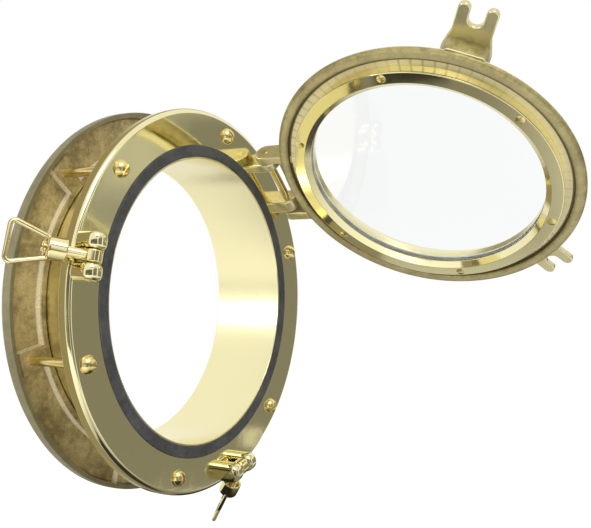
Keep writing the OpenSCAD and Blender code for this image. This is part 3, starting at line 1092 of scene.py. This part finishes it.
@dataclass
class PortFrame(SubAssembly):
    """Flange with its spigot and lugs, and the gasket in its groove."""

    bore_r: float = 102.0
    flange_r: float = 137.2
    flange_t: float = 8.0
    flange_round: float = 3.2
    spigot_r: float = 108.5
    spigot_len: float = 52.0
    seat_len: float = 16.0
    band_len: float = 6.0
    step: float = 1.0
    groove_in_r: float = 103.4
    groove_out_r: float = 111.6
    gasket_t: float = 5.0
    gasket_proud: float = 0.8
    gasket_round: float = 0.75
    gasket_play: float = 0.05
    edge: float = 0.6
    root_fillet: float = 1.2
    back_cast: float = 0.7
    back_reach: float = 0.5
    hinge_lugs: Lugs = Lugs(pin_r=125.2, pin_z=19.5, eye_r=8.0, inner=16.5, outers=(23.9, 27.9), cast=0.55)
    dog_lugs: Lugs = Lugs(
        pin_r=129.2, pin_z=16.5, eye_r=7.0, inner=4.2, outers=(14.7, 14.7), foot_round=4.4, bevel=3.4
    )

    def ring(self) -> Surface:
        """Turned body: the section of flange and spigot carried round the axis.

        Returns:
            The closed ring, marked where it is only turned and where it is as cast.
        """
        e, z, top = self.edge, -self.spigot_len, self.flange_t
        band_z, root_z = z + self.seat_len, z + self.seat_len + self.band_len
        band_r, root_r = self.spigot_r + self.step, self.spigot_r + 2 * self.step
        floor_z = top + self.gasket_proud - self.gasket_t
        profile = rounded(
            [
                (self.bore_r, z, e), (self.spigot_r, z, e), (self.spigot_r, band_z, CRISP),
                (band_r, band_z, FINE), (band_r, root_z, CRISP), (root_r, root_z, FINE),
                (root_r, 0.0, self.root_fillet), (self.flange_r, 0.0, e),
                (self.flange_r, top, self.flange_round), (self.groove_out_r, top, FINE),
                (self.groove_out_r, floor_z, CRISP), (self.groove_in_r, floor_z, CRISP),
                (self.groove_in_r, top, FINE), (self.bore_r, top, e),
            ],
            steps=7, support=0.08,
        )
        surface = revolved(profile, steps=384)
        r, height = surface.radius(), surface.points[:, 2]
        bore = r < self.bore_r + NEAR
        outside = (height < -NEAR) & (r > self.spigot_r - NEAR)
        surface.mark(Mark.SATIN, np.where(bore | outside, 1.0, 0.0))
        rough_back = (height < self.back_reach) & (height > root_z) & (r > root_r + self.root_fillet)
        return surface.mark(Mark.CAST, np.where(rough_back, self.back_cast, 0.0))

    def gasket(self) -> Surface:
        """Rubber ring that stands proud of its groove, its section carried round the axis.

        Returns:
            The closed ring.
        """
        top, play = self.flange_t + self.gasket_proud, self.gasket_play
        sides = (self.groove_in_r + play, self.groove_out_r - play)
        heights = (top - self.gasket_t + play, top)
        rounds = (CRISP, CRISP, self.gasket_round, self.gasket_round)
        return revolved(box_outline(sides, heights, rounds, support=0.05), steps=288)

    def build(self) -> None:
        """Makes and dresses the frame with its lugs, and the gasket."""
        lugs = [self.hinge_lugs.pair(self.layout.hinge_angle)]
        lugs += [self.dog_lugs.pair(angle) for angle in self.layout.dog_angles()]
        body = made_piece("flanged_frame", joined([self.ring(), *lugs]), Placement())
        hand_over(body, self.finishes.frame_brass, "port", "port_frame")
        seal = made_piece("seal_ring", self.gasket(), Placement())
        hand_over(seal, self.finishes.rubber, "port", "gasket")


@dataclass
class ClampRing(SubAssembly):
    """Cast ring with six pockets in its wall side and a land at each screw.

    The rows of a sector are those of half a land, a pocket's end, the pocket, its other end and
    the next half land.
    """

    bore_r: float = 109.0
    ring_r: float = 138.5
    back_z: float = -47.7
    wall_z: float = -38.7
    pocket: float = 4.5
    hub_w: float = 4.0
    rim_w: float = 3.0
    round_r: float = 4.0
    edge: float = 0.6
    bore_edge: float = 0.5
    land_in_w: float = 11.0
    land_out_w: float = 16.0
    wall_draft: float = 0.9
    floor_gap: float = 0.2
    corner_steps: int = 8
    wall_steps: int = 7
    floor_steps: int = 16
    sector_rows: tuple[int, ...] = (6, 8, 40, 8, 6)

    def section(self) -> tuple[np.ndarray, np.ndarray]:
        """Section of the ring: rim, pocket wall, floor, pocket wall and hub on its wall side.

        Returns:
            Outline points, and each point's share of the pocket's depth.
        """
        d = self.wall_draft
        rim, hub = self.ring_r - self.rim_w, self.bore_r + self.hub_w
        sides, heights = (self.bore_r, self.ring_r), (self.back_z, self.wall_z)
        rounds = (self.edge, self.round_r, self.edge, self.bore_edge)
        base = box_outline(sides, heights, rounds, self.corner_steps, support=0.1)
        ease = np.linspace(0, 1, self.wall_steps)
        floor = np.linspace(rim - d - self.floor_gap, hub + d + self.floor_gap, self.floor_steps)
        dip_r = np.concatenate([rim - d * ease, floor, hub + d * ease[::-1]])
        dip = np.concatenate([eased(ease), np.ones(self.floor_steps), eased(ease)[::-1]])
        cut = 3 * (self.corner_steps + 2)
        wall_side = np.stack([dip_r, np.full(len(dip), self.wall_z)], 1)
        depth = np.concatenate([np.zeros(cut), dip, np.zeros(len(base) - cut)])
        return np.concatenate([base[:cut], wall_side, base[cut:]]), depth

    def ring(self, land_angles: np.ndarray) -> Surface:
        """Ring whose wall side sinks into pockets.

        A section point has a share of the pocket's depth, and a row has a share that is zero on a
        land and one in a pocket: the point sinks by depth times both. Rows lean with the lands,
        whose half angle at radius r is w(r) / 2r.

        Args:
            land_angles: directions of the lands, rising, in degrees.

        Returns:
            The closed ring.
        """
        profile, depth = self.section()
        r = profile[:, 0]
        out_share = (r - self.bore_r) / (self.ring_r - self.bore_r)
        half = np.degrees((self.land_in_w + (self.land_out_w - self.land_in_w) * out_share) / 2 / r)
        edge = np.degrees(self.wall_draft / r)
        pitch = (np.roll(land_angles, -1) - land_angles)[:, None, None] % 360
        u = np.concatenate([k + np.linspace(0, 1, n, endpoint=False) for k, n in enumerate(self.sector_rows)])
        zero = 0 * half
        starts = np.stack([zero, half, half + edge, -half - edge, -half, zero])
        ends = np.array([0, 0, 0, 1, 1, 1])[:, None]
        stops = starts[None] + ends[None] * pitch
        k = u.astype(int)
        sector = stops[:, k] + (u - k)[:, None] * (stops[:, k + 1] - stops[:, k])
        in_pocket = eased(np.clip(np.where(u < 2, u - 1, 4 - u), 0, 1))
        a = np.radians((land_angles[:, None, None] + sector).reshape(-1, len(r)))
        share = np.tile(in_pocket, len(land_angles))
        z = profile[None, :, 1] - self.pocket * share[:, None] * depth[None]
        points = np.stack([np.cos(a) * r, np.sin(a) * r, z], -1)
        surface = Surface(points.reshape(-1, 3), quad_net(len(share), len(r), True, True))
        # Pocket walls and brinks are marked to be lightened: partly wear, partly a painted highlight
        brink, side = 4 * depth * (1 - depth), 4 * share * (1 - share)
        worn_and_highlit = np.maximum(brink[None] * share[:, None], side[:, None] * np.minimum(1, 2 * depth)[None])
        return surface.mark(Mark.EDGE, np.clip(worn_and_highlit, 0, 1).ravel()).mark(Mark.CAST, 1.0)

    def build(self) -> None:
        """Makes and dresses the ring, and dresses the screws and pins."""
        ring = made_piece("cast_clamp_ring", self.ring(self.layout.screw_angles()), Placement())
        hand_over(ring, self.finishes.cast_brass, "port", "clamp_ring")
        for node in frame["nodes"]:
            if node.startswith(("clamp_screw", "hinge_pin", "dog_pin", "ring_screw")):
                dress_node(node, self.finishes.bright_brass)


@dataclass
class Leaf(SubAssembly):
    """Cast leaf frame with its bead, forks and ears, and the retaining ring over the glass."""

    sight_r: float = 85.5
    pocket_r: float = 91.0
    ledge_z: float = 17.85
    face_z: float = 12.05
    face_round: float = 0.25
    bead_in_r: float = 104.0
    bead_out_r: float = 112.0
    bead_half_t: float = 3.0
    back_w: float = 5.0
    back_round: float = 1.5
    crown_r: float = 96.0
    crown_z: float = 23.05
    crown_foot_round: float = 3.0
    crown_round: float = 4.5
    top_z: float = 28.05
    lip_r: float = 89.0
    lip_round: float = 0.8
    sight_round: float = 1.0
    keep_r: float = 98.0
    keep_lap: float = 0.5
    keep_top_z: float = 4.85
    keep_slope: float = 4.0
    keep_lip: float = 0.6
    keep_seat_round: float = 0.1
    keep_rounds: Pair = (0.7, 0.5)
    glass_z: float = 8.65
    pin_r: float = 125.2
    pin_z: float = 19.5
    eye_r: float = 8.0
    ear_ins: Pair = (24.3, 28.3)
    ear_outs: Pair = (31.2, 36.3)
    ear_sink: float = 2.0
    web_gap: float = 10.0
    web_half_h: float = 4.0
    web_round: float = 1.5
    web_inset: float = 0.5
    plate_bevel: float = 0.8
    fork_in_z: float = 26.55
    fork_out_z: float = 31.05
    fork_slot_r: float = 127.7
    fork_slot_w: float = 10.0
    fork_prong_w: float = 8.0
    fork_tip_r: float = 137.2
    fork_spread: float = 3.5
    fork_sink: float = 3.0
    fork_neck_w: float = 5.0
    fork_rounds: Pair = (2.5, 6.0)
    neck_rounds: Triple = (2.0, 4.0, 3.0)
    neck_inset: float = 0.4
    neck_proud: float = 0.8
    neck_overlap: float = 0.6
    neck_bevel: float = 0.6
    fork_cast: float = 0.35
    ear_cast: float = 0.6
    web_cast: float = 0.9

    def body(self) -> Surface:
        """Turned and cast ring of the leaf, its section carried round the axis.

        Returns:
            The closed ring, marked where it is as cast and where it is only turned.
        """
        b, mid = self.bead_half_t, self.face_z
        bead = b - TRIM
        profile = rounded(
            [
                (self.sight_r, self.ledge_z, FINE), (self.pocket_r, self.ledge_z, FINE),
                (self.pocket_r, mid, FINE), (self.bead_in_r - NEAR, mid, self.face_round),
                (self.bead_in_r, mid - b, bead), (self.bead_out_r, mid - b, bead),
                (self.bead_out_r, mid + b, bead), (self.bead_out_r - self.back_w, mid + b, self.back_round),
                (self.crown_r, self.crown_z, self.crown_foot_round),
                (self.crown_r, self.top_z, self.crown_round),
                (self.lip_r, self.top_z, self.lip_round), (self.sight_r, self.crown_z, self.sight_round),
            ],
            steps=9, support=0.05,
        )
        surface = revolved(profile, steps=432)
        r = surface.radius()
        inner = surface.points[:, 2] < mid + FINE
        surface.mark(Mark.CAST, np.where(inner & (r > self.keep_r - self.keep_lap), 1.0, 0.0))
        return surface.mark(Mark.SATIN, np.where(r < self.sight_r + FINE, 1.0, 0.0))

    def keep(self) -> Surface:
        """Polished ring that holds the glass, with a slope towards it, its section carried round the axis.

        Returns:
            The closed ring.
        """
        seat, face, top = self.glass_z + NEAR, self.face_z + NEAR, self.keep_top_z
        seat_round, (outer_round, brow_round) = self.keep_seat_round, self.keep_rounds
        profile = rounded(
            [
                (self.sight_r, seat, seat_round), (self.pocket_r, seat, seat_round),
                (self.pocket_r, face, seat_round), (self.keep_r, face, seat_round),
                (self.keep_r, top, outer_round), (self.sight_r + self.keep_slope, top, brow_round),
                (self.sight_r, self.glass_z - self.keep_lip, CRISP),
            ],
            steps=7, support=0.06,
        )
        return revolved(profile, steps=384)

    def fork(self, angle: float) -> Surface:
        """Two prongs on a plate, and the neck that carries it from the rim, both rounded plates.

        Args:
            angle: direction of the fork round the window.

        Returns:
            Plate and neck.
        """
        slot = self.fork_slot_w / 2
        half = slot + self.fork_prong_w
        wide = half + self.fork_spread
        root, slot_r, tip_r = self.crown_r - self.fork_sink, self.fork_slot_r - slot, self.fork_tip_r
        tip, bottom = self.fork_prong_w / 2 - TRIM, slot - NEAR
        root_round, side_round = self.fork_rounds
        neck_r = self.bead_out_r + self.fork_neck_w
        upper = [
            (slot_r, slot, bottom), (tip_r, slot, tip), (tip_r, half, tip), (neck_r, half, side_round),
            (self.bead_in_r, wide, side_round), (root, wide, root_round),
        ]
        plan = rounded(self.mirrored(upper), steps=9)
        plate = slab(plan, self.fork_in_z, self.fork_out_z, self.plate_bevel)
        near, middle, far = self.neck_rounds
        narrow = wide - self.neck_inset
        end_r = self.bead_out_r + self.neck_proud
        upper = [(end_r, half, far), (self.bead_in_r, narrow, middle), (root, narrow, near)]
        low, high = self.face_z + self.neck_overlap, self.fork_in_z + self.neck_overlap
        neck = slab(rounded(self.mirrored(upper), steps=7), low, high, self.neck_bevel)
        return joined([plate.mark(Mark.CAST, self.fork_cast), neck.mark(Mark.CAST, 1.0)]).spun(angle)

    @staticmethod
    def mirrored(upper: list[Corner]) -> list[Corner]:
        """Corners of a plan from those of its upper half, counterclockwise."""
        return [(x, -y, radius) for x, y, radius in reversed(upper)] + upper

    def ears(self, angle: float) -> Surface:
        """Two ears round the hinge pin, and the web between them, all rounded plates.

        Args:
            angle: direction of the hinge round the window.

        Returns:
            Ears and web.
        """
        sink, head, edge = self.ear_sink, self.eye_r - TRIM, self.web_round
        root, tip, web_r = self.crown_r - sink, self.pin_r + self.eye_r, self.pin_r - self.web_gap
        heights = (self.pin_z - self.eye_r, self.pin_z + self.eye_r)
        outline = box_outline((root, tip), heights, (sink, head, head, sink), steps=16)
        ears = joined(cheeks(outline, self.ear_ins, self.ear_outs, self.plate_bevel))
        heights = (self.pin_z - self.web_half_h, self.pin_z + self.web_half_h)
        outline = box_outline((root, web_r), heights, (sink, edge, edge, sink))
        start, stop = self.web_inset - self.ear_outs[1], self.ear_outs[0] - self.web_inset
        web = slab(outline, start, stop, self.plate_bevel).stood()
        return joined([ears.mark(Mark.CAST, self.ear_cast), web.mark(Mark.CAST, self.web_cast)]).spun(angle)

    def build(self) -> None:
        """Makes and dresses leaf frame and retaining ring, and dresses glass and bedding."""
        hinge = joint_named("leaf_hinge")
        place = Placement().about_joint(hinge, -hinge["range_deg"][0])
        forks = [self.fork(angle) for angle in self.layout.dog_angles()]
        ears = self.ears(self.layout.hinge_angle)
        body = made_piece("cast_leaf", joined([self.body(), *forks, ears]), place)
        hand_over(body, self.finishes.leaf_brass, "leaf", "leaf_frame")
        keep = made_piece("glass_keep_ring", self.keep(), place)
        hand_over(keep, self.finishes.ring_brass, "leaf", "retaining_ring")
        dress_node("glass", self.finishes.glass)
        dress_node("glass_bedding", self.finishes.bedding)


@dataclass
class Dogs(SubAssembly):
    """Swing bolts with their eyes, and the loop-handled nuts on them, drawn along z from the pin."""

    eye_r: float = 5.8
    eye_t: float = 7.6
    eye_rounds: Pair = (0.4, 1.0)
    bolt_r: float = 3.5
    bolt_len: float = 30.0
    bolt_sink: float = 1.5
    end_len: float = 0.9
    end_drop: float = 0.7
    pin_r: float = 2.56
    thread_pitch: float = 1.25
    thread_from: float = 26.5
    thread_start: float = 1.0
    thread_depth: float = 0.62
    pitch_rows: int = 10
    nut_seat: float = 15.65
    nut_len: float = 11.5
    nut_r: float = 7.0
    nut_play: float = 0.06
    nut_rounds: Triple = (0.4, 1.0, 1.6)
    nut_turns: Pair = (0.0, -18.0)
    loop_len: float = 32.9
    near_half: float = 4.7
    far_half: float = 13.0
    rod_r: float = 1.5
    bend_r: float = 3.0
    support: float = 0.05

    def bolt(self) -> Surface:
        """Eye as a ring about the pin, and the shank with a cut thread.

        The shank's radius at height z and angle a falls by a triangle wave of
        z / pitch - a / 2 pi, so the thread climbs one pitch a turn.

        Returns:
            Eye and shank.
        """
        half, (bore_round, rim_round) = self.eye_t / 2, self.eye_rounds
        rounds = (bore_round, rim_round, rim_round, bore_round)
        profile = box_outline((self.pin_r, self.eye_r), (-half, half), rounds, support=self.support)
        eye = revolved(profile, steps=64).stood()
        a = turns(48)
        rows = int((self.bolt_len - self.pin_r) / self.thread_pitch * self.pitch_rows)
        z = np.linspace(self.pin_r + self.bolt_sink, self.bolt_len, rows)[:, None]
        wave = np.abs(np.mod(z / self.thread_pitch - a / (2 * np.pi), 1.0) * 2 - 1)
        cut = np.clip((z - self.thread_from) / self.thread_start, 0, 1)
        end = np.clip((z - self.bolt_len + self.end_len) / self.end_len, 0, 1)
        r = self.bolt_r - self.thread_depth * cut * wave - self.end_drop * end
        points = np.stack([r * np.cos(a), r * np.sin(a), np.broadcast_to(z, r.shape)], -1)
        return joined([eye, tube(points, np.stack([np.cos(a), np.sin(a)], 1))])

    def nut(self) -> Surface:
        """Hub with rounded ends, carried round the axis, and the loop, a round rod along its path.

        Returns:
            Hub and loop.
        """
        low, bore = self.nut_seat, self.bolt_r + self.nut_play
        heights = (low, low + self.nut_len)
        bore_round, low_round, high_round = self.nut_rounds
        rounds = (bore_round, low_round, high_round, bore_round)
        profile = box_outline((bore, self.nut_r), heights, rounds, steps=8, support=self.support)
        path = self._loop_path(low + self.nut_len / 2, low + self.loop_len)
        a = turns(20)
        rod = self.rod_r * np.stack([np.cos(a), np.sin(a)], 1)
        return joined([revolved(profile, steps=72), swept(path, X_AXIS, rod)])

    def _loop_path(self, near_z: float, far_z: float) -> np.ndarray:
        """Centre line of the loop in the plane of tangent and bolt: leg, bend, bar, bend, leg.

        Args:
            near_z: height where the legs leave the hub.
            far_z: height of the far bar.

        Returns:
            Points of the line.
        """
        lean = math.atan2(self.far_half - self.near_half, far_z - near_z)
        take_up = self.bend_r * math.tan(math.pi / 4 + lean / 2)
        centre = np.array([self.far_half - take_up, far_z - self.bend_r])
        leg_points, bend_points, bar_points = 12, 14, 10
        turn = np.linspace(-lean, math.pi / 2, bend_points)
        bend = centre + self.bend_r * np.stack([np.cos(turn), np.sin(turn)], 1)
        flip = np.array([-1.0, 1.0])
        leg = np.linspace(np.array([self.near_half, near_z]), bend[0], leg_points, endpoint=False)
        bar = np.linspace(bend[-1], bend[-1] * flip, bar_points)[1:-1]
        half = np.concatenate([leg, bend])
        flat = np.concatenate([half, bar, half[::-1] * flip])
        return np.concatenate([np.zeros((len(flat), 1)), flat], axis=1)

    def build(self) -> None:
        """Makes and dresses the swing bolts and their nuts."""
        brass = self.finishes.dog_brass
        for number, (angle, turn) in enumerate(zip(self.layout.dog_angles(), self.nut_turns), start=1):
            joint = joint_named(f"dog_{number}_swing")
            at_pin = Placement(STAND_UP @ turn_about(Z_AXIS, angle), np.array(joint["pos_m"]))
            place = at_pin.about_joint(joint, -joint["range_deg"][0])
            bolt = made_piece(f"swing_bolt_{number}", self.bolt(), place)
            hand_over(bolt, brass, f"dog_{number}", f"eyebolt_{number}")
            nut = made_piece(f"loop_nut_{number}", self.nut().spun(turn), place)
            hand_over(nut, brass, f"nut_{number}", f"wing_nut_{number}")


# Studio


@dataclass(frozen=True)
class Card:
    """Grey card out of view that faces the window, soft at its edges, for polished faces to mirror.

    Its level is its brightness, where 1 is white, and soft is the share of its half size over
    which it fades. A card that mirrors look at through the glass is open to rays in the glass too.
    """

    name: str
    centre: Point
    size: Pair
    level: float
    soft: float = 0.2
    through_glass: bool = False
    tint: Colour = (1.0, 0.97, 0.86)
    ring: ClassVar[bool] = False

    def axes(self) -> tuple[np.ndarray, np.ndarray]:
        """Directions of width and height.

        Returns:
            Two unit vectors, square to the line from the card to the window.
        """
        facing = -unit(np.array(self.centre))
        side = unit(np.cross(Z_AXIS, facing))
        return side, np.cross(facing, side)

    def grid(self) -> tuple[np.ndarray, np.ndarray]:
        """Square grid, from -1 to 1 both ways, laid along the card's axes.

        Returns:
            Points in rows, and how much of the surround each hides, from 0 to 1.
        """
        line = np.linspace(-1, 1, 41)
        u, v = np.meshgrid(line, line, indexing="ij")
        side, up = self.axes()
        across, along = u[..., None] * side * self.size[0] / 2, v[..., None] * up * self.size[1] / 2
        fade = np.clip((1 - np.maximum(np.abs(u), np.abs(v))) / self.soft, 0, 1)
        return np.array(self.centre) + across + along, eased(fade)

    def build(self) -> None:
        """Makes the card as a piece that glows and shows in mirrors only."""
        points, cover = self.grid()
        mesh = bpy.data.meshes.new(self.name)
        net = quad_net(*cover.shape, False, self.ring)
        mesh.from_pydata(points.reshape(-1, 3).tolist(), [], net.tolist())
        layer = mesh.attributes.new(Mark.COVER.value, "FLOAT", "POINT")
        layer.data.foreach_set("value", cover.astype(np.float32).ravel())
        made = linked(self.name, mesh)
        material, g = new_material(self.name)
        g.tree.nodes.clear()
        glow = g.node("Emission", {"Color": (*self.tint, 1.0), "Strength": self.level}).outputs[0]
        clear = g.node("BsdfTransparent").outputs[0]
        mixed = g.node("MixShader", {0: g.mark(Mark.COVER), 1: clear, 2: glow}).outputs[0]
        g.node("OutputMaterial", {"Surface": mixed})
        dress(made, material)
        for ray in ("camera", "diffuse", "shadow"):
            setattr(made, f"visible_{ray}", False)
        made.visible_transmission = self.through_glass


@dataclass(frozen=True)
class Mat(Card):
    """Card that lies flat; the height of its centre counts from the floor."""

    soft: float = 0.25

    def axes(self) -> tuple[np.ndarray, np.ndarray]:
        """Directions of width and height."""
        return X_AXIS, Y_AXIS

    def grid(self) -> tuple[np.ndarray, np.ndarray]:
        """Points in rows, raised from the floor, and how much of the surround each hides."""
        points, cover = super().grid()
        return points + FLOOR_Z * Z_AXIS, cover


@dataclass(frozen=True)
class Hoop(Card):
    """Card in the shape of a ring behind the window, whose size is its inner and outer radius."""

    soft: float = 0.08
    tint: Colour = (1.0, 0.84, 0.52)
    ring: ClassVar[bool] = True

    def grid(self) -> tuple[np.ndarray, np.ndarray]:
        """Rows from the inner to the outer radius: (r cos a, y, r sin a).

        Returns:
            Points in rows, and how much of the surround each hides, from 0 to 1.
        """
        u, a = np.meshgrid(np.linspace(0, 1, 25), turns(96), indexing="ij")
        r = self.size[0] + u * (self.size[1] - self.size[0])
        points = np.array(self.centre) + np.stack([r * np.cos(a), 0 * a, r * np.sin(a)], -1)
        return points, eased(np.clip(np.minimum(u, 1 - u) / self.soft, 0, 1))


@dataclass(frozen=True)
class Lamp:
    """Square soft lamp aimed at the window."""

    name: str
    at: Point
    size: float
    power: float

    def build(self) -> None:
        """Makes the lamp."""
        data = bpy.data.lights.new(self.name, "AREA")
        data.size, data.energy = self.size, self.power
        made = linked(self.name, data)
        made.location = self.at
        made.rotation_euler = (-Vector(self.at)).to_track_quat("-Z", "Y").to_euler()


@dataclass
class Studio:
    """Camera at the photograph's view, a pale floor and soft plain light."""

    camera_at: Point = (-0.48834, -0.3570, 0.02199)
    camera_to: Point = (0.03136, -0.06403, 0.0264)
    lens_mm: float = 50.31
    sensor_mm: float = 36.0
    nearest: float = 0.01
    soft_light: float = 0.7
    floor_half: float = 4.0
    floor_pale: float = 0.9
    floor_grey: float = 0.85
    floor_glow: float = 0.7
    glow_strength: float = 0.37
    floor_rough: float = 0.9
    cards: tuple[Card, ...] = (
        Card("card_right", (1.05, -0.75, -0.10), (1.5, 1.15), 0.26, through_glass=True),
        Card("card_glow", (0.88, -0.82, 0.27), (0.24, 0.24), 0.55, 0.8, through_glass=True),
        Card("card_left", (-1.0, -0.56, 0.0), (1.4, 1.0), 0.14),
        Card("card_front", (-0.12, -1.15, 0.0), (0.85, 1.0), 0.22),
        Card("card_low", (0.0, -0.03, -0.22), (0.58, 0.60), 0.26, 0.8),
        Card("card_patch", (0.889, -0.534, -0.3075), (0.05, 0.05), 0.75, 0.5),
        Card("card_dark", (-0.35, -1.2, 0.75), (1.6, 0.16), 0.02, 0.3),
        Mat("mat_right", (0.64, 0.10, 0.03), (0.72, 0.80), 0.08),
        Mat("mat_left", (-0.08, -0.05, 0.31), (0.12, 0.09), 0.04),
        Mat("mat_low", (0.045, 0.022, 0.31), (0.13, 0.085), 0.02),
        Hoop("hoop_back", (0.0, 0.10, 0.0), (0.198, 0.46), 0.34),
    )
    lamps: tuple[Lamp, ...] = (
        Lamp("key_lamp", (-0.6, -1.0, 1.4), 0.9, 9.0),
        Lamp("back_lamp", (-1.7, 0.98, 0.40), 0.5, 4.0),
        Lamp("side_lamp", (-1.3, -0.45, -0.15), 0.5, 4.5),
    )

    def camera(self) -> None:
        """Camera with no roll, shift or depth of field."""
        data = bpy.data.cameras.new("camera")
        data.sensor_fit = "HORIZONTAL"
        data.sensor_width, data.lens, data.clip_start = self.sensor_mm, self.lens_mm, self.nearest
        made = linked("camera", data)
        made.location = self.camera_at
        look = Vector(self.camera_to) - Vector(self.camera_at)
        made.rotation_euler = look.to_track_quat("-Z", "Y").to_euler()
        bpy.context.scene.camera = made

    def world(self) -> None:
        """White surround for the camera, mirrors and glass, and plain soft light for the rest."""
        world = bpy.data.worlds.new("studio")
        bpy.context.scene.world = world
        world.use_nodes = True
        g = Graph(world.node_tree)
        g.tree.nodes.clear()
        path = g.node("LightPath").outputs
        seen = g.math("MAXIMUM", path["Is Camera Ray"], path["Is Glossy Ray"])
        seen = g.math("MAXIMUM", seen, path["Is Transmission Ray"])
        soft, white = (
            g.node("Background", {"Color": (*WHITE, 1.0), "Strength": strength}).outputs[0]
            for strength in (self.soft_light, 1.0)
        )
        mixed = g.node("MixShader", {0: seen, 1: soft, 2: white}).outputs[0]
        g.node("OutputWorld", {"Surface": mixed})

    def floor(self) -> None:
        """Wide pale floor below the window, white to the camera and grey to mirrors."""
        half = self.floor_half
        corners = [(x, y, FLOOR_Z) for x, y in ((-half, -half), (half, -half), (half, half), (-half, half))]
        mesh = bpy.data.meshes.new("floor")
        mesh.from_pydata(corners, [], [[0, 1, 2, 3]])
        made = linked("floor", mesh)
        material, g = new_material("floor")
        path = g.node("LightPath").outputs
        seen, mirrored = path["Is Camera Ray"], path["Is Glossy Ray"]
        pale, grey, lit = ((level,) * 3 for level in (self.floor_pale, self.floor_grey, self.floor_glow))
        glow = g.mix(mirrored, BLACK, lit)
        g.put(g.tree.nodes["Principled BSDF"], {
            "Base Color": g.mix(seen, grey, pale),
            "Emission Color": g.mix(seen, glow, WHITE),
            "Emission Strength": self.glow_strength,
            "Roughness": self.floor_rough,
        })
        dress(made, material)

    def build(self) -> None:
        """Camera, surround, floor, cards and lamps."""
        self.camera()
        self.world()
        self.floor()
        for prop in (*self.cards, *self.lamps):
            prop.build()
        bpy.context.scene.view_settings.view_transform = "Standard"


def main() -> None:
    """Builds the studio and the window's sub-assemblies."""
    logging.basicConfig(level=logging.INFO, format="%(name)s: %(message)s")
    Studio().build()
    layout, finishes = Layout(), Finishes(SharedEffects())
    for assembly in (PortFrame, ClampRing, Leaf, Dogs):
        assembly(layout, finishes).build()


if __name__ == "__main__":
    main()
